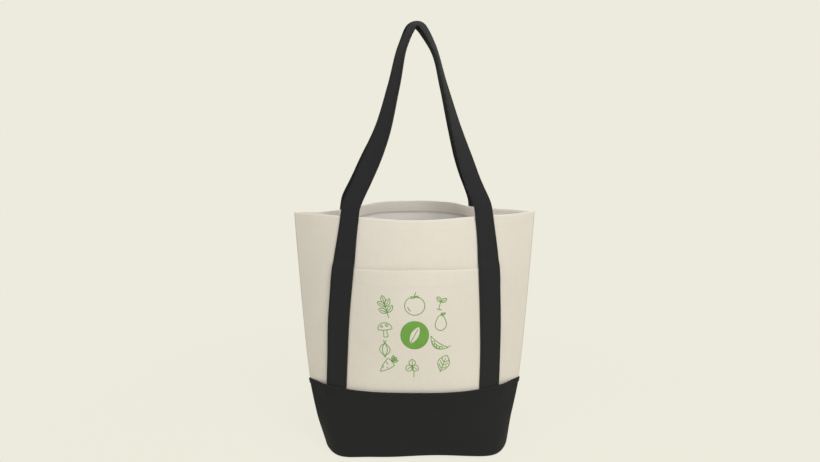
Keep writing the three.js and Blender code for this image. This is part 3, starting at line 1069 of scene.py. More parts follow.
@dataclass
class Straps:
    """Two long black straps, each sewn down one face on both sides and free over the top."""

    form: BagForm
    width: float = 37 * MM
    thickness: float = 2.4 * MM
    spacing: float = 258 * MM
    pinch: float = 21 * MM
    pinch_start: float = 0.36
    rise: float = 306 * MM
    handle_gap: float = 3 * MM
    fold_rise: float = 4 * MM
    pocket_top: float = 326 * MM
    pocket_stack: float = 1.5 * MM
    hem_stack: float = 0.55 * MM
    stitch_inset: float = 3 * MM
    stitch_sink: float = 0.2 * MM
    channel_depth: float = 0.28 * MM
    channel_width: float = 0.9 * MM
    crown: float = 0.12 * MM
    front_dip: float = 2.5 * MM
    back_dip: float = 5 * MM
    front_crest: float = 3 * MM
    back_crest: float = -1 * MM
    left_turn: float = 70.0
    right_turn: float = 86.0
    front_crest_turn: float = 77.0
    back_crest_turn: float = 67.0
    fold_start: float = 1 * MM
    fold_end: float = 22 * MM
    smooth_rows: float = 3.0
    smooth_passes: int = 6
    smooth_share: float = 0.6
    sewn_rows: int = 90
    free_rows: int = 190
    thread: Stitching = Stitching()

    def centre(self, z: Array) -> Array:
        """Distance round from a face's middle to a strap's centre line.

        It is the same up to where the straps draw in, and then falls by a square of the share.

        Args:
            z: heights.

        Returns:
            Distances.
        """
        start = self.form.height * self.pinch_start
        share = np.maximum((z - start) / (self.form.height - start), 0.0)
        return self.spacing / 2 - self.pinch * share ** 2

    def drift(self, z: Array, face: Face) -> Array:
        """How far both of a face's straps sit to one side, along its own across direction.

        Args:
            z: heights.
            face: which face.

        Returns:
            Distances, eased from a low value to a high one, with a share more at the foot.
        """
        low, high, foot = (-2 * MM, 3 * MM, -2.5 * MM) if face is Face.FRONT else (0.0, 1 * MM, 0.0)
        tall = self.form.height
        upper, lower = ease(z, tall * 0.45, tall), 1 - ease(z, tall * 0.25, tall * 0.5)
        return low + (high - low) * upper + foot * lower

    def cup(self, z: Array) -> Array:
        """Share of its flat width that a strap spans, which is least where its edges curl at the rim.

        Args:
            z: heights.

        Returns:
            Shares.
        """
        gathered = ease(z, self.form.height * 0.74, self.form.height)
        released = ease(z, self.form.height + 0.03, self.form.height + 0.1)
        return 1.04 - 0.2 * gathered * (1 - released)

    def stand_off(self, z: Array, face: Face) -> Array:
        """How far a sewn strap stands off the body, over the pocket's edge and its hem.

        Args:
            z: heights.
            face: which face.

        Returns:
            Distances outwards.
        """
        if face is Face.BACK:
            low = self.form.base_height
            return GAP + self.pocket_stack * (1 - ease(z, low - 10 * MM, low + 30 * MM))
        over = 1 - ease(z, self.pocket_top + 0.5 * MM, self.pocket_top + 12 * MM)
        hem = ease(z, self.pocket_top - 32 * MM, self.pocket_top - 22 * MM) * over
        return GAP + self.pocket_stack * over + self.hem_stack * hem

    def profile(self) -> tuple[Array, Array]:
        """The strap's cross-section, as distances towards the inner edge and outwards.

        Folded cloth: rounded edges as half circles, a faint crown, and a channel pressed in
        along each stitch line as a narrow bell curve.

        Returns:
            Distances across from the middle, and distances up from the inner face.
        """
        r, half = self.thickness / 2, self.width / 2
        shares = np.sort(np.append(np.linspace(-1, 1, 19), [-0.86, -0.80, 0.80, 0.86]))
        flat = shares * (half - r)
        from_seam = np.abs(flat) - (half - self.stitch_inset)
        channel = self.channel_depth * np.exp(-((from_seam / self.channel_width) ** 2))
        crown = self.crown * (1 - (flat / half) ** 2)
        angle = np.linspace(math.pi / 2, -math.pi / 2, 7)[1:-1]
        edge = flat[-1] + r * np.cos(angle)
        across = np.concatenate([flat, edge, flat[::-1], -edge])
        up = np.concatenate([self.thickness - channel + crown, r + r * np.sin(angle),
                             channel[::-1], r - r * np.sin(angle)])
        return across, up

    def leg(self, side: int, face: Face, across: Array, up: Array, z: Array) -> Array:
        """Points of a sewn strap.

        Args:
            side: -1 or 1 along the face's own across direction.
            face: which face.
            across: distances from the strap's middle towards the face's middle.
            up: distances up from the strap's inner face.
            z: heights.

        Returns:
            Points, heights by across by three.
        """
        z = z[:, None]
        s = side * (self.centre(z) - across * self.cup(z)) + self.drift(z, face)
        return self.form.cloth(s, z, self.stand_off(z, face) + up, face)

    def loop_line(self, face: Face, count: int) -> Array:
        """Centre line of the free handle, from one foot over the top to the other.

        A smooth curve through points given as shares of the feet's half spacing and of the rise,
        with shares of its own for each side. Each handle's top sits a little to one side and a
        little below the full rise.

        Args:
            face: which face.
            count: how many points, evenly spaced.

        Returns:
            The points.
        """
        form = self.form
        up = np.array([0, 0.035, 0.2, 0.43, 0.67, 0.88])
        shares = {-1: np.array([1, 0.99, 0.78, 0.50, 0.32, 0.175]),
                  1: np.array([1, 0.99, 0.81, 0.61, 0.43, 0.26])}
        foot = form.height + self.fold_rise
        dip = self.front_dip if face is Face.FRONT else self.back_dip
        top = form.height + self.rise - self.thickness / 2 - dip
        top_y = -(self.handle_gap + self.width) / 2
        centre = float(self.centre(np.array(foot)))
        points = []
        for side in (-1, 1):
            s = side * centre + float(self.drift(np.array(foot), face))
            root = face.turn(form.cloth(s, foot, GAP + self.thickness / 2, face))
            x = shares[side if face is Face.FRONT else -side] * root[0]
            y = root[1] + (top_y - root[1]) * up
            points.append(np.stack([x, y, foot + (top - foot) * up], -1))
        crest = self.front_crest if face is Face.FRONT else self.back_crest
        line = smooth_through(np.concatenate([points[0], [[crest, top_y, top]], points[1][::-1]]))
        reach = reach_along(line)
        return read_along(np.linspace(0, reach[-1], count), reach, line)

    def loop(self, face: Face, across: Array, up: Array, count: int) -> Array:
        """Points of the free handle.

        The width turns from facing front at the feet towards lying flat over the top, by a sine
        of a power of the share of the way up. The left leg turns less than the right, and both
        ease to one angle at the top. The thickness direction is the width crossed with the line.

        Args:
            face: which face.
            across: distances from the strap's middle towards its inner edge.
            up: distances up from the strap's inner face.
            count: how many rows along the handle.

        Returns:
            Points, rows by across by three, in the front's place.
        """
        line = self.loop_line(face, count)
        along = unit(np.gradient(line, axis=0))
        climb = 1 - np.abs(np.linspace(-1, 1, count))
        a, b, p = self.form.section(self.form.height)
        foot_turn = math.atan(b * p * (abs(line[0, 0]) / a) ** (p - 1) / a)
        right = np.linspace(0, 1, count) if face is Face.FRONT else np.linspace(1, 0, count)
        turned = np.radians(self.left_turn + (self.right_turn - self.left_turn) * ease(right, 0.4, 0.6))
        angle = foot_turn + (turned - foot_turn) * np.sin(climb ** 0.85 * math.pi / 2)
        flat = math.radians(self.front_crest_turn if face is Face.FRONT else self.back_crest_turn)
        angle += (flat - angle) * ease(climb, 0.72, 1.0)
        inward = unit(np.stack([along[:, 2], np.zeros(count), -along[:, 0]], -1))
        width = inward * np.cos(angle)[:, None] + np.array([0, -1.0, 0]) * np.sin(angle)[:, None]
        width = unit(width - along * np.sum(width * along, axis=1, keepdims=True))
        normal = np.cross(width, along)
        off = up - self.thickness / 2
        across = across * self.cup(line[:, 2:3])
        return line[:, None] + width[:, None] * across[..., None] + normal[:, None] * off[None, :, None]

    def surface(self, face: Face, across: Array, up: Array) -> Array:
        """Points of the whole strap: up one leg, over the handle and down the other leg.

        The rows beside each fold line and at the top are averaged with their neighbours, so
        that the strap bends there without a crease.

        Args:
            face: which face.
            across: distances from the strap's middle towards its inner edge.
            up: distances up from the strap's inner face.

        Returns:
            Points, rows by across by three.
        """
        foot = self.form.base_height - self.form.base_lap
        z = np.linspace(foot, self.form.height + self.fold_start, self.sewn_rows)
        first = self.leg(-1, face, across, up, z)
        last = self.leg(1, face, across, up, z)[::-1]
        free = face.turn(self.loop(face, across, up, self.free_rows))[1:-1]
        rows = np.concatenate([first, free, last])
        marks = np.zeros(len(rows))
        for joint in (self.sewn_rows, len(rows) / 2, len(rows) - self.sewn_rows):
            marks = np.maximum(marks, np.exp(-((np.arange(len(rows)) - joint) / self.smooth_rows) ** 2))
        for _ in range(self.smooth_passes):
            mean = (rows[:-2] + rows[2:]) / 2
            rows[1:-1] += (mean - rows[1:-1]) * marks[1:-1, None, None] * self.smooth_share
        return rows

    def build(self, face: Face) -> bpy.types.Object:
        """Makes one whole strap, bent at the fold lines into its handle.

        Args:
            face: which face.

        Returns:
            The strap.
        """
        across, up = self.profile()
        rings = self.surface(face, across, up)
        middle = rings.mean(1)
        reach = reach_along(middle)
        wrapped = np.append(across, across[0] + 1e-4)
        cloth = np.stack(np.broadcast_arrays(wrapped[None, :], reach[:, None]), -1)
        rim = ease(np.abs(across), self.width / 2 - 1.4 * MM, self.width / 2 - 0.2 * MM)
        masks = np.zeros((*rings.shape[:2], 2))
        masks[..., 0] = rim
        skin = Skin()
        skin.tube(rings, cloth, masks)
        made = skin.make(f"{face.value}_strap", STRAP_BLACK)
        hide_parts(f"{face.value}_handle", f"{face.value}_strap_left", f"{face.value}_strap_right")
        return self.bend(made, face)

    def bend(self, piece: bpy.types.Object, face: Face) -> bpy.types.Object:
        """Bakes a piece's placement into its mesh.

        Args:
            piece: the piece.
            face: which face; not used.

        Returns:
            The piece.
        """
        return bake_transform(piece)

    def sew(self, face: Face) -> None:
        """Sews both legs and both edges of the free handle.

        Args:
            face: which face.
        """
        edge = self.width / 2 - self.stitch_inset
        top = self.form.height - self.stitch_inset
        low = self.form.base_height + self.stitch_inset
        for word in ("left", "right"):
            side = face.side(word)

            def seam(off: float) -> Array:
                """Points up one edge, across below the rim and down the other edge.

                Args:
                    off: distance off the strap.

                Returns:
                    The points in order.
                """
                z = np.linspace(low, top, 120)
                up = np.array([self.thickness - self.stitch_sink + off])
                legs = [self.leg(side, face, np.array([a]), up, z)[:, 0] for a in (-edge, edge)]
                bar = self.leg(side, face, np.linspace(-edge, edge, 14)[1:-1], up, np.array([top]))[0]
                return np.concatenate([legs[0], bar, legs[1][::-1]])

            name = f"{face.value}_strap_{word}"
            made = self.thread.sew(f"{name}_stitches", [lifted(seam)], BLACK_THREAD, "black_thread")
            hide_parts(f"{name}_thread")
            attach(made, "bag")
        for word, across in (("inner", edge), ("outer", -edge)):
            runs = []
            for outer in (True, False):

                def line(off: float) -> Array:
                    """Points along one edge of the free handle, on one of its faces.

                    Args:
                        off: distance off the strap.

                    Returns:
                        The points in order.
                    """
                    up = self.thickness - self.stitch_sink + off if outer else self.stitch_sink - off
                    rows = self.surface(face, np.array([across]), np.array([up]))[:, 0]
                    return rows[self.sewn_rows:-self.sewn_rows]

                runs.append(lifted(line))
            name = f"{face.value}_handle_{word}"
            made = self.thread.sew(f"{name}_stitches", runs, BLACK_THREAD, "black_thread")
            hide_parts(f"{name}_thread")
            self.bend(made, face)


@dataclass
class Pocket:
    """The open patch pocket, caught under the front straps and the base."""

    form: BagForm
    straps: Straps
    top: float = 326 * MM
    tuck: float = 8 * MM
    gape: float = 5 * MM
    canvas: float = 1.2 * MM
    hem_height: float = 25 * MM
    hem_extra: float = 0.15 * MM
    hem_step: float = 1 * MM
    mouth_rise: float = 2 * MM
    mouth_curve: float = 4 * MM
    mouth_wave: float = 0.4 * MM
    stitch_inset: float = 3 * MM
    columns: int = 96
    rows: int = 60
    thread: Stitching = Stitching(radius=0.2 * MM)

    def stand_off(self, s: Array, z: Array) -> Array:
        """How far the pocket's inner face stands off the body: a shallow arch that grows upwards.

        Args:
            s: distances round from the front's middle.
            z: heights.

        Returns:
            Distances outwards.
        """
        reach = self.straps.centre(z) - self.straps.width / 2
        across = np.maximum(1 - (s / reach) ** 2, 0.0)
        return GAP + self.gape * across * ease(z, self.form.base_height, self.top)

    def place(self, s: Array, z: Array, off: Array | float) -> Array:
        """Points that stand off the pocket's outer face.

        Args:
            s: distances round from the front's middle.
            z: heights.
            off: distances outwards.

        Returns:
            Points, in a last dimension of three.
        """
        foot = self.top - self.hem_height
        hem = self.hem_extra * ease(z, foot - self.hem_step, foot + self.hem_step)
        return self.form.cloth(s, z, self.stand_off(s, z) + self.canvas + hem + off, Face.FRONT)

    def build(self) -> bpy.types.Object:
        """Makes the pocket, with a hem folded in at its mouth.

        Returns:
            The pocket.
        """
        form = self.form
        foot = form.base_height - form.base_lap
        tall = self.top - foot
        doubled = self.canvas + self.hem_extra
        heights, depths = folded_profile(0.0, 1 - self.hem_height / tall, self.canvas, doubled, self.rows)
        u = np.linspace(-1, 1, self.columns)[None, :]
        dip = self.mouth_rise - self.mouth_curve * u ** 2 + self.mouth_wave * np.sin(7 * u + 1)
        share = np.minimum(heights, 1.0)[:, None]
        z = foot + (tall + dip) * share + np.maximum(heights - 1.0, 0.0)[:, None]
        s = u * (self.straps.centre(z) - self.straps.width / 2 + self.tuck)
        points = self.place(s, z, -depths[:, None])
        cloth = np.stack([s, z - FOLD_TAKE_UP * depths[:, None]], -1) + POCKET_CUT
        # The pocket's inside faces also take the painted lighter tone.
        inside = ease(depths, 0.3 * self.canvas, self.canvas)[:, None] * np.ones_like(s)
        edge = np.clip(1 - (self.top + dip - z) / WORN_EDGE, 0, 1) * np.ones_like(s)
        skin = Skin()
        skin.wall(points, cloth, np.stack([edge, inside], -1))
        made = skin.make("patch_pocket", NATURAL)
        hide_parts("front_pocket")
        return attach(made, "bag")

    def sew(self) -> bpy.types.Object:
        """Sews the pocket's hem.

        Returns:
            The stitches.
        """
        z = self.top - self.hem_height + self.stitch_inset
        reach = self.straps.centre(np.array(z)) - self.straps.width / 2 - 1 * MM
        s = np.linspace(-reach, reach, 160)
        run = lifted(lambda off: self.place(s, np.full_like(s, z), off - 0.05 * MM))
        made = self.thread.sew("patch_pocket_stitches", [run], NATURAL_THREAD, "natural_thread")
        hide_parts("front_pocket_thread")
        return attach(made, "bag")


@dataclass
class Base:
    """The black canvas base: the bottom and low walls in one, folded up at the boxed corners."""

    form: BagForm
    straps: Straps
    cloth: float = 1.4 * MM
    bottom_edge: float = 5 * MM
    lip_run: float = 40 * MM
    lip_fade: float = 30 * MM
    strap_stack: float = 4.2 * MM
    stitch_inset: float = 3 * MM
    turned_in: float = 9 * MM
    turned_extra: float = 0.7 * MM
    turned_step: float = 1 * MM
    dent: float = 1.1 * MM
    small_dent: float = 0.6 * MM
    seam_groove: float = 0.9 * MM
    slack_rise: float = 3.6 * MM
    corner_rise: float = 1.2 * MM
    columns: int = 90
    wall_rows: int = 44
    bottom_rows: int = 16
    thread: Stitching = Stitching()

    def stand_off(self, r: Array, z: Array) -> Array:
        """How far the wall's inner face stands off the body: out over the straps at its lip.

        Args:
            r: distances round from a face's middle.
            z: heights.

        Returns:
            Distances outwards.
        """
        strap_edge = self.straps.centre(z) + self.straps.width / 2 + self.stitch_inset
        over = 1 - ease(np.abs(r) - strap_edge, 0.0, self.lip_fade)
        return GAP + (self.strap_stack + GAP) * over * ease(z, self.form.base_height - self.lip_run,
                                                            self.form.base_height - self.form.base_lap)

    def hang(self, r: Array, z: Array, face: Face) -> Array:
        """The wall's own hang: the body's, soft dents low down and a groove along the side seam.

        Dents are products of sines that fade at the top and bottom, and the groove is a narrow
        bell curve.

        Args:
            r: distances round from the face's middle.
            z: heights.
            face: which face.

        Returns:
            Distances outwards.
        """
        form = self.form
        own = form.hang(r if face is Face.FRONT else -r, z, face)
        t = z / form.base_height
        turn = 0.0 if face is Face.FRONT else 1.9
        u = np.abs(r) / form.quarter(z)
        fade = np.sin(math.pi * np.clip(t, 0, 1))
        dent = self.dent * np.sin(r / 0.035 + turn) * fade * np.sin(2.2 * t + turn + r / 0.09)
        dent += self.small_dent * np.sin(r / 0.017 - z / 0.021 + turn) * fade ** 2
        groove = self.seam_groove * np.exp(-(((1 - u) * form.quarter(z)) / 0.0022) ** 2)
        return own + dent * (1 - u ** 6) - groove

    def ring(self, z: Array, off: Array, pulled: Array) -> Array:
        """Points right round the base, from the middle of the front to the right.

        Args:
            z: heights, one a row.
            off: distances off the wall's inner face, one a row.
            pulled: share of the section that each row keeps, 1 at the wall.

        Returns:
            Points, rows by columns by three.
        """
        form = self.form
        half = spread_to_ends(2 * self.columns + 1, 0.45)
        z, off, pulled = z[:, None], off[:, None], pulled[:, None, None]
        halves = []
        for face in (Face.FRONT, Face.BACK):
            r = half[None, :] * form.quarter(z)
            lift = self.stand_off(r, z) + off + self.hang(r, z, face)
            points = form.at(r, z, lift, Face.FRONT)
            a, b, p = form.section(z)
            seam = np.abs(half) == 1.0
            nose = b * p / a
            mitre = a + lift * np.hypot(nose, 1.0) / nose
            points[:, seam, 0] = (np.sign(half) * mitre)[:, seam]
            points[:, seam, 1] = 0.0
            points[..., 1] = np.minimum(points[..., 1], 0.0)
            halves.append(points if face is Face.FRONT else points * np.array([1, -1, 1]))
        loop = np.concatenate([halves[0][:, :-1], halves[1][:, :0:-1]], 1)
        loop[..., :2] *= pulled
        return loop

    def lift_bottom(self, points: Array) -> Array:
        """Raises the bottom a little between its corners, and pushes its foot aside, as slack does.

        The rise is two bell curves across and fades upwards and towards the back. The push
        fades upwards.

        Args:
            points: points of the base.

        Returns:
            The points, moved.
        """
        x, y, z = points[..., 0], points[..., 1], points[..., 2]
        bell = self.slack_rise * np.exp(-(((x - 0.03) / 0.062) ** 2))
        bell = bell + self.corner_rise * np.exp(-(((x + 0.085) / 0.03) ** 2))
        fade = (1 - ease(z, 0.0, 0.07)) * (0.25 + 0.75 * ease(-y, -0.05, 0.05))
        raised = points.copy()
        raised[..., 0] = x + self.form.foot_push * (1 - ease(z, 0.0, 0.06))
        raised[..., 2] = z + bell * fade
        return raised

    def build(self) -> bpy.types.Object:
        """Makes the base as one closed shell.

        The profile runs from the middle of the bottom out to the bottom edge, round it, up the
        wall, round the folded top edge, down the inner wall and back to the middle.

        Returns:
            The base.
        """
        form = self.form
        top = form.base_height
        edge = self.bottom_edge
        flat = np.linspace(0.0, 1.0, self.bottom_rows)[1:]
        bend = np.linspace(0, math.pi / 2, 6)[1:-1]
        wall = edge + (top - edge) * np.linspace(0, 1, self.wall_rows)
        low, high = top - self.turned_in - self.turned_step, top - self.turned_in + self.turned_step
        wall = np.sort(np.append(wall, [low, high]))
        wall = wall[wall < top - 0.5 * MM]
        thick = self.cloth + self.turned_extra * ease(wall, low, high)
        full = thick[-1]
        fold = np.linspace(0, math.pi, 9)[1:-1]
        z = np.concatenate([flat * 0, edge * (1 - np.cos(bend)), wall,
                            top - 1.0 * MM + full / 2 * np.sin(fold), wall[::-1],
                            flat[::-1] * 0 + self.cloth])
        off = np.concatenate([flat * 0 + self.cloth - edge, self.cloth - edge * (1 - np.sin(bend)), thick,
                              full / 2 * (1 + np.cos(fold)), wall * 0, flat * 0 - edge + self.cloth])
        pulled = np.concatenate([flat, bend * 0 + 1, wall * 0 + 1, fold * 0 + 1, wall * 0 + 1, flat[::-1]])
        points = self.lift_bottom(self.ring(z, off, pulled))
        round_count = points.shape[1]
        run = np.hypot(np.diff(z), np.diff(off) + np.diff(pulled) * 0.05)
        reach = np.concatenate([[0.0], np.cumsum(run)])
        half = spread_to_ends(2 * self.columns + 1, 0.45)[:-1]
        girth = np.concatenate([half, half + 2, [3.0]])
        cloth = np.stack(np.broadcast_arrays(girth[None, :] * 0.2 + 0.4, reach[:, None]), -1)
        masks = np.zeros((len(z), round_count, 2))
        outer = off > self.cloth * 0.5
        masks[..., 0] = (np.clip(1 - np.abs(z - top) / WORN_EDGE, 0, 1)
                         + 0.8 * np.clip(1 - z / (5 * MM), 0, 1) * outer)[:, None]
        skin = Skin()
        ids = skin.grid(points, cloth, masks, wrap_columns=True)
        for ring in (ids[0], ids[-1][::-1]):
            skin.close(np.roll(ring, -(len(ring) // 4)))
        made = skin.make("boxed_base", BLACK)
        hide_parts("base_panel")
        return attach(made, "bag")

    def sew(self, face: Face) -> bpy.types.Object:
        """Sews the base's top edge to one face of the body.

        Args:
            face: which face.

        Returns:
            The stitches.
        """
        form = self.form
        z = form.base_height - self.stitch_inset
        r = np.linspace(-1, 1, 400) * (form.quarter(z) - 2 * MM)
        height = np.full_like(r, z)

        def run(off: float) -> Array:
            """Points along the top edge.

            Args:
                off: distance off the base.

            Returns:
                The points in order.
            """
            lift = self.stand_off(r, height) + self.cloth + 0.6 * MM + off + self.hang(r, height, face)
            points = form.at(r, height, lift, Face.FRONT)
            return points if face is Face.FRONT else points * np.array([1, -1, 1])

        made = self.thread.sew(f"{face.value}_base_stitches", [lifted(run)], BLACK_THREAD, "black_thread")
        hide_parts(f"{face.value}_base_thread")
        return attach(made, "bag")


@dataclass
class Bindings:
    """Taped seam allowances inside the bag: one up each side seam and one across each end."""

    form: BagForm
    width: float = 8 * MM
    thickness: float = 1.5 * MM
    side_inset: float = 8 * MM
    end_inset: float = 17 * MM
    end_margin: float = 24 * MM
    base_cloth: float = 1.4 * MM

    def strip(self, name: str, node: str, middle: Array, across: Array, up: Array) -> bpy.types.Object:
        """Makes one tape folded over its seam allowance.

        The cross-section is a rounded bar, thicker at the tape's fold, carried along a line.

        Args:
            name: the piece's name.
            node: the CAD node that it stands for.
            middle: points along the tape's middle.
            across: direction from the seam towards the tape's fold, at each point.
            up: direction of the tape's thickness, at each point.

        Returns:
            The tape.
        """
        angle = np.linspace(0, 2 * math.pi, 21)[:-1]
        wide = np.sign(np.cos(angle)) * np.abs(np.cos(angle)) ** 0.5 * self.width / 2
        swell = 0.8 + 0.2 * (wide / (self.width / 2))
        tall = np.sign(np.sin(angle)) * np.abs(np.sin(angle)) ** 0.6 * self.thickness / 2 * swell
        rings = middle[:, None] + across[:, None] * wide[None, :, None] + up[:, None] * tall[None, :, None]
        reach = reach_along(middle)
        girth = np.append(np.cumsum(np.hypot(np.gradient(wide), np.gradient(tall))), 0.019)
        cloth = np.stack(np.broadcast_arrays(girth[None, :], reach[:, None]), -1)
        skin = Skin()
        skin.tube(rings, cloth)
        made = skin.make(name, BINDING)
        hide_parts(node)
        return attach(made, "bag")

    def build(self) -> None:
        """Makes the four tapes. Those up the side seams wander a little from side to side."""
        form = self.form
        for word, side in (("left", -1), ("right", 1)):
            z = np.linspace(6.4 * MM, form.height - 3 * MM, 120)
            a, _, _ = form.section(z)
            lean = 0.35 * np.sin(z / 0.021 + side) + 0.25 * np.sin(z / 0.009)
            x = side * (a - self.side_inset - self.width / 2)
            middle = np.stack([x, lean * MM, z], -1)
            across = np.tile([-side, 0.0, 0.0], (len(z), 1))
            tip = np.stack([0.05 * np.sin(z / 0.03), np.ones_like(z), 0 * z], -1)
            self.strip(f"{word}_side_seam_tape", f"{word}_side_binding", middle, across, tip)
            reach = form.bottom_depth / 2 - self.end_margin
            y = np.linspace(-reach, reach, 40)
            x = side * (form.bottom_width / 2 - self.end_inset - self.width / 2)
            x = x + form.foot_push + 0.4 * MM * np.sin(y / 0.011)
            rise = self.base_cloth + GAP + self.thickness / 2 + 0.5 * MM + 0.3 * MM * np.sin(y / 0.013)
            middle = np.stack([x, y, rise], -1)
            across = np.tile([-side, 0.0, 0.0], (len(y), 1))
            tip = np.tile([0.0, 0.0, 1.0], (len(y), 1))
            self.strip(f"{word}_end_seam_tape", f"{word}_gusset_binding", middle, across, tip)


# ---------------------------------------------------------------------------------------------
# Print


class Motif(Enum):
    """The plain garden shapes printed round the disc."""

    SPRIG = "sprig"
    LEAF = "leaf"
    ROUND = "round fruit"
    PEAR = "pear"
    ROOT = "root"
    POD = "pod"
    CAP = "mushroom"
    BULB = "bulb"
    SPROUT = "sprout"
    CLOVER = "clover"


def oval(x: float, y: float, rx: float, ry: float, start: float = 0.0, end: float = 360.0) -> Array:
    """Points round an oval, or part of one, by the cosine and sine of the angle.

    Args:
        x: middle across.
        y: middle up.
        rx: half width.
        ry: half height.
        start: angle of the first point in degrees.
        end: angle of the last point.

    Returns:
        The points.
    """
    angle = np.radians(np.linspace(start, end, 41))
    return np.stack([x + rx * np.cos(angle), y + ry * np.sin(angle)], -1)


def spun(line: Array, degrees: float) -> Array:
    """A flat line's points turned clockwise."""
    a = math.radians(degrees)
    return line @ np.array([[math.cos(a), -math.sin(a)], [math.sin(a), math.cos(a)]])


def blade(x: float, y: float, length: float, half: float, turn: float) -> list[Array]:
    """A leaf's outline and midrib.

    The half width is the sine of half a turn of the share along, to the power 0.8.

    Args:
        x: the leaf's foot across.
        y: the leaf's foot up.
        length: foot to tip.
        half: greatest half width.
        turn: degrees clockwise from straight up.

    Returns:
        The outline's two sides and the midrib.
    """
    t = np.linspace(0.0, 1.0, 25)
    bulge = half * np.sin(math.pi * t) ** 0.8
    sides = [np.stack([sign * bulge, length * t], -1) for sign in (-1, 1, 0)]
    sides[2] = sides[2][:20]
    return [spun(line, turn) + (x, y) for line in sides]


def bow(x0: float, y0: float, x1: float, y1: float, bend: float) -> Array:
    """A line between two points that bows to its left by a share of its length.

    The bow is four times the share along times what is left.

    Args:
        x0: start across.
        y0: start up.
        x1: end across.
        y1: end up.
        bend: greatest bow as a share of the length.

    Returns:
        The points.
    """
    t = np.linspace(0.0, 1.0, 21)[:, None]
    way = np.array([x1 - x0, y1 - y0])
    return np.array([x0, y0]) + way * t + np.array([-way[1], way[0]]) * bend * 4 * t * (1 - t)


def strokes(motif: Motif) -> list[Array]:
    """The lines of a motif, in a space from -1 to 1 either way.

    Args:
        motif: which shape.

    Returns:
        One list of points for each line.
    """
    if motif is Motif.SPRIG:
        pairs = [leaf for y, turn in ((-0.5, 55), (0.02, 46)) for side in (-1, 1)
                 for leaf in blade(0, y, 0.8, 0.2, side * turn)]
        return [bow(0, -1, 0, 0.4, 0.0), *pairs, *blade(0, 0.3, 0.7, 0.2, 0)]
    if motif is Motif.LEAF:
        veins = [bow(0, y, side * 0.42, y + 0.38, -0.1 * side)
                 for y in (-0.5, -0.15, 0.2) for side in (-1, 1)]
        return [*blade(0, -0.8, 1.75, 0.62, 0), *veins, bow(0, -1.0, 0, -0.8, 0)]
    if motif is Motif.ROUND:
        crown = [bow(0, 0.55, 0.34 * math.sin(a), 0.55 + 0.2 * math.cos(a), 0.12)
                 for a in (-1.9, -1.0, 0.0, 1.0, 1.9)]
        return [oval(0, -0.1, 0.78, 0.72), bow(0, 0.55, 0.1, 0.95, 0.1), *crown,
                oval(0, -0.1, 0.55, 0.5, 190, 235)]
    if motif is Motif.PEAR:
        angle = np.radians(np.linspace(0, 360, 61))
        r = 0.62 + 0.16 * np.sin(angle) ** 3
        body = np.stack([r * np.cos(angle) * (1 - 0.32 * np.sin(angle)), 0.86 * np.sin(angle) - 0.12], -1)
        return [body, bow(0, 0.72, 0.12, 1.0, 0.15), *blade(0.05, 0.8, 0.5, 0.13, 75)]
    if motif is Motif.ROOT:
        sides = [bow(side * 0.42, 0.3, 0, -1.0, 0.06 * side) for side in (-1, 1)]
        rings = [bow(-0.3, 0.02, -0.02, 0.0, -0.1), bow(0.06, -0.28, 0.24, -0.25, -0.1),
                 bow(-0.2, -0.5, -0.02, -0.52, -0.1)]
        tops = [leaf for turn in (-30, 0, 30) for leaf in blade(0, 0.4, 0.6, 0.12, turn)]
        return [*sides, oval(0, 0.3, 0.42, 0.14, 0, 180), *rings, *tops]
    if motif is Motif.POD:
        beans = [oval(x, -0.03 - 0.22 * (1 - (x / 0.6) ** 2), 0.13, 0.13) for x in (-0.45, -0.15, 0.15, 0.45)]
        return [bow(-1, 0.25, 1, 0.25, -0.34), bow(-1, 0.25, 1, 0.25, -0.06), *beans,
                bow(1, 0.25, 1.1, 0.5, 0.1)]
    if motif is Motif.CAP:
        return [oval(0, 0.0, 0.85, 0.75, 0, 180), bow(-0.85, 0, 0.85, 0, -0.06),
                bow(-0.22, -0.08, -0.28, -0.85, 0.05), bow(0.22, -0.08, 0.28, -0.85, -0.05),
                bow(-0.28, -0.85, 0.28, -0.85, -0.12),
                oval(-0.35, 0.35, 0.12, 0.1), oval(0.25, 0.42, 0.14, 0.11)]
    if motif is Motif.BULB:
        ribs = [bow(0, 0.62, 0, -0.82, bend) for bend in (-0.42, -0.2, 0.2, 0.42)]
        return [*ribs, bow(0, 0.62, -0.12, 1.0, 0.06), bow(0, 0.62, 0.14, 0.96, -0.06),
                bow(0, -0.82, -0.14, -1.0, 0.1), bow(0, -0.82, 0.12, -1.0, 0.1)]
    if motif is Motif.SPROUT:
        leaves = [leaf for side in (-1, 1) for leaf in blade(0, 0.0, 0.85, 0.24, side * 52)]
        return [bow(0, -0.95, 0, 0.0, 0.08), *leaves, bow(-0.35, -0.95, 0.35, -0.95, -0.1)]
    lobes = [leaf for turn in (0, 120, 240) for leaf in blade(0, 0.1, 0.68, 0.3, turn)]
    return [*lobes, bow(0, 0.1, 0.15, -0.95, 0.08)]


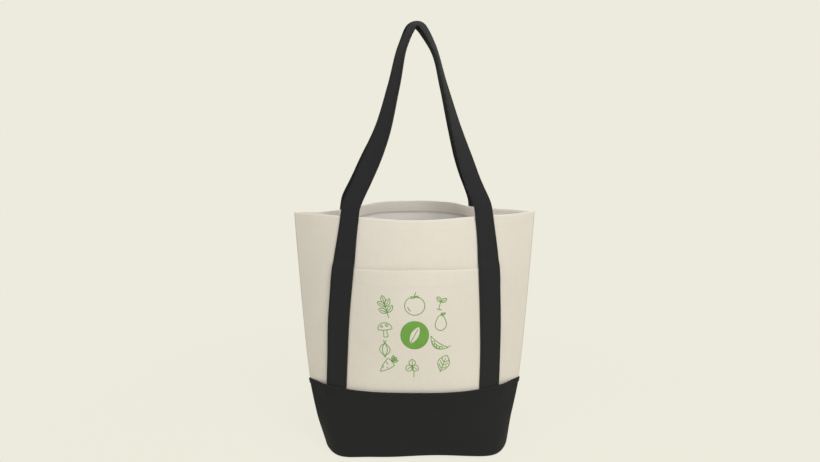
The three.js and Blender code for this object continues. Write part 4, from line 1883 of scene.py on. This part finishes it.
@dataclass
class Print:
    """The pocket's print: a plain disc with a leaf left open, and simple garden shapes round it."""

    pocket: Pocket
    middle: tuple[float, float] = (-1.2 * MM, 222.8 * MM)
    tall: float = 1.065
    disc: float = 22.5 * MM
    line: float = 1.25 * MM
    ink: float = 0.06 * MM
    lift: float = 0.02 * MM
    leaf_reach: float = 15 * MM
    leaf_half: float = 6.2 * MM
    leaf_turn: float = 62.0

    def film(self, skin: Skin, line: Array) -> None:
        """Adds one printed line as a thin film on the pocket.

        Its edges are the line moved half its width either way, square to its direction.

        Args:
            skin: the mesh that it joins.
            line: the line's points across and up the pocket, in metres.
        """
        along = unit(np.gradient(line, axis=0))
        beside = np.stack([-along[:, 1], along[:, 0]], -1) * self.line / 2
        sides = np.stack([line + beside, line - beside], 1)
        low = self.pocket.place(sides[..., 0], sides[..., 1], self.lift)
        high = self.pocket.place(sides[..., 0], sides[..., 1], self.lift + self.ink)
        rings = np.stack([low[:, 0], high[:, 0], high[:, 1], low[:, 1]], 1)
        flat = np.stack([sides[:, 0], sides[:, 0], sides[:, 1], sides[:, 1], sides[:, 0]], 1)
        skin.tube(rings, flat + POCKET_CUT)

    def roundel(self, skin: Skin) -> None:
        """Adds the disc, open in the shape of a leaf.

        Each ring runs from the leaf's edge to the disc's edge. The leaf is where two circles of
        one radius overlap, whose edge at an angle follows from the circle's equation.

        Args:
            skin: the mesh that it joins.
        """
        angle = np.linspace(0, 2 * math.pi, 181)[:-1]
        turn = math.radians(self.leaf_turn)
        reach, half = self.leaf_reach, self.leaf_half
        radius = (reach ** 2 + half ** 2) / (2 * half)
        shift = radius - half
        cosine = np.abs(np.sin(angle - turn))
        leaf = -shift * cosine + np.sqrt(radius ** 2 - shift ** 2 * (1 - cosine ** 2))
        share = np.linspace(0, 1, 8)
        out = leaf[None, :] + (self.disc - leaf[None, :]) * share[:, None]
        out = np.concatenate([out, out[::-1]])
        s = self.middle[0] + out * np.cos(angle)
        z = self.middle[1] + out * np.sin(angle) * self.tall
        off = np.concatenate([share * 0 + self.lift, share * 0 + self.lift + self.ink])[:, None]
        points = self.pocket.place(s, z, off + 0 * s)
        flat = np.stack([s, z], -1) + POCKET_CUT
        flat = np.concatenate([flat, flat[:1]])
        flat = np.concatenate([flat, flat[:, :1]], 1)
        skin.grid(points, flat, wrap_rows=True, wrap_columns=True)
        rib = np.linspace(-reach * 1.02, reach * 0.72, 30)
        self.film(skin, self.middle + rib[:, None] * (math.cos(turn), math.sin(turn) * self.tall))

    def build(self) -> bpy.types.Object:
        """Prints the disc and the shapes round it.

        Returns:
            The print.
        """
        skin = Skin()
        self.roundel(skin)
        layout = (
            (Motif.SPRIG, -46, 43, 18, -18), (Motif.ROUND, 0, 48, 20, 0), (Motif.SPROUT, 41, 51, 12, 14),
            (Motif.CAP, -47, 8, 13.5, -8), (Motif.PEAR, 41, 20, 14, 0), (Motif.BULB, -47.5, -23, 14, 0),
            (Motif.POD, 37, -15, 17, 35), (Motif.ROOT, -42, -48, 18, 48), (Motif.CLOVER, -4, -52, 17, 0),
            (Motif.LEAF, 46, -47, 15, 22),
        )
        for motif, across, up, size, turn in layout:
            for line in strokes(motif):
                drawn = (spun(line, turn) * size + (across, up)) * (1, self.tall)
                self.film(skin, self.middle + drawn * MM)
        made = skin.make("pocket_print", GREEN)
        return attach(made, "bag")


# ---------------------------------------------------------------------------------------------
# Studio


@dataclass
class Studio:
    """A pale floor and backdrop, soft lights, and the camera."""

    backdrop: Colour = (237, 235, 221)
    away: float = 1.5
    yaw: float = 1.2
    eye: float = 0.718
    aim: tuple[float, float, float] = (-0.0076, 0.0, 0.377)
    lens: float = 41.4
    sensor: float = 36.0
    floor_reach: float = 1.6
    floor_thickness: float = 4 * MM
    floor_drop: float = 0.6 * MM
    lit_height: float = 0.25

    def floor(self) -> bpy.types.Object:
        """Makes the floor: a flat disc, whose rings grow outwards.

        Returns:
            The floor.
        """
        angle = np.linspace(0, 2 * math.pi, 97)[:-1]
        rings = np.linspace(0.02, self.floor_reach, 24)
        top = np.stack([rings[:, None] * np.cos(angle), rings[:, None] * np.sin(angle),
                        np.zeros((len(rings), len(angle)))], -1)
        low = top[::-1] - (0, 0, self.floor_thickness)
        skin = Skin()
        ids = skin.grid(np.concatenate([top, low]), wrap_columns=True)
        skin.close(ids[0])
        skin.close(ids[-1][::-1])
        made = skin.make("studio_floor", FLOOR)
        made.data.transform(Matrix.Translation((0, 0, -self.floor_drop)))
        return made

    def light(self, name: str, place: Sequence[float], size: float, power: float, tone: Colour) -> None:
        """Adds a soft square light that faces the bag.

        Args:
            name: the light's name.
            place: where it stands.
            size: its side.
            power: its power in watts.
            tone: its colour.
        """
        data = bpy.data.lights.new(name, "AREA")
        data.size, data.energy, data.color = size, power, linear(tone)[:3]
        lamp = bpy.data.objects.new(name, data)
        bpy.context.scene.collection.objects.link(lamp)
        self.face(lamp, place, (0.0, 0.0, self.lit_height))

    def face(self, thing: bpy.types.Object, place: Sequence[float], target: Sequence[float]) -> None:
        """Puts a thing at a place and turns it to look at a target."""
        thing.location = place
        thing.rotation_euler = (Vector(target) - Vector(place)).to_track_quat("-Z", "Y").to_euler()

    def build(self) -> None:
        """Makes the floor, the lights, the world and the camera."""
        scene = bpy.context.scene
        scene.view_settings.view_transform = "Standard"
        self.floor()
        world = bpy.data.worlds.new("studio")
        scene.world = world
        world.use_nodes = True
        nodes = Nodes(world.node_tree)
        seen = nodes.add("Background", {"Color": linear(self.backdrop), "Strength": 1.0})
        soft = nodes.add("Background", {"Color": linear((242, 242, 241)), "Strength": 0.56})
        ray = nodes.add("LightPath").outputs["Is Camera Ray"]
        both = nodes.add("MixShader", {0: ray, 1: soft.outputs[0], 2: seen.outputs[0]})
        nodes.add("OutputWorld", {"Surface": both.outputs[0]})
        self.light("key", (1.0, -1.75, 1.3), 1.2, 20.5, (255, 254, 251))
        self.light("fill", (-1.5, -1.2, 0.9), 1.4, 2.5, (248, 250, 255))
        self.light("top", (0.1, -0.8, 2.1), 1.0, 16.0, (255, 254, 253))
        yaw = math.radians(self.yaw)
        camera = bpy.data.objects.new("camera", bpy.data.cameras.new("camera"))
        camera.data.lens, camera.data.sensor_width = self.lens, self.sensor
        camera.data.clip_start, camera.data.clip_end = 0.05, 30.0
        scene.collection.objects.link(camera)
        self.face(camera, (-self.away * math.sin(yaw), -self.away * math.cos(yaw), self.eye), self.aim)
        scene.camera = camera


def main() -> None:
    """Builds the bag's sub-assemblies in order, then the studio."""
    logging.basicConfig(level=logging.INFO, format="%(name)s %(message)s")
    Studio().build()
    low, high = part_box("front_panel")
    form = BagForm(height=high.z, rim_width=high.x - low.x, base_height=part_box("base_panel")[1].z)
    body, straps = Body(form), Straps(form)
    pocket = Pocket(form, straps, top=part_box("front_pocket")[1].z)
    straps.pocket_top = pocket.top
    base = Base(form, straps)
    base.build()
    for face in Face:
        body.build(face)
        body.sew(face)
        straps.build(face)
        straps.sew(face)
        base.sew(face)
    pocket.build()
    pocket.sew()
    Bindings(form).build()
    Print(pocket).build()


if __name__ == "__main__":
    main()
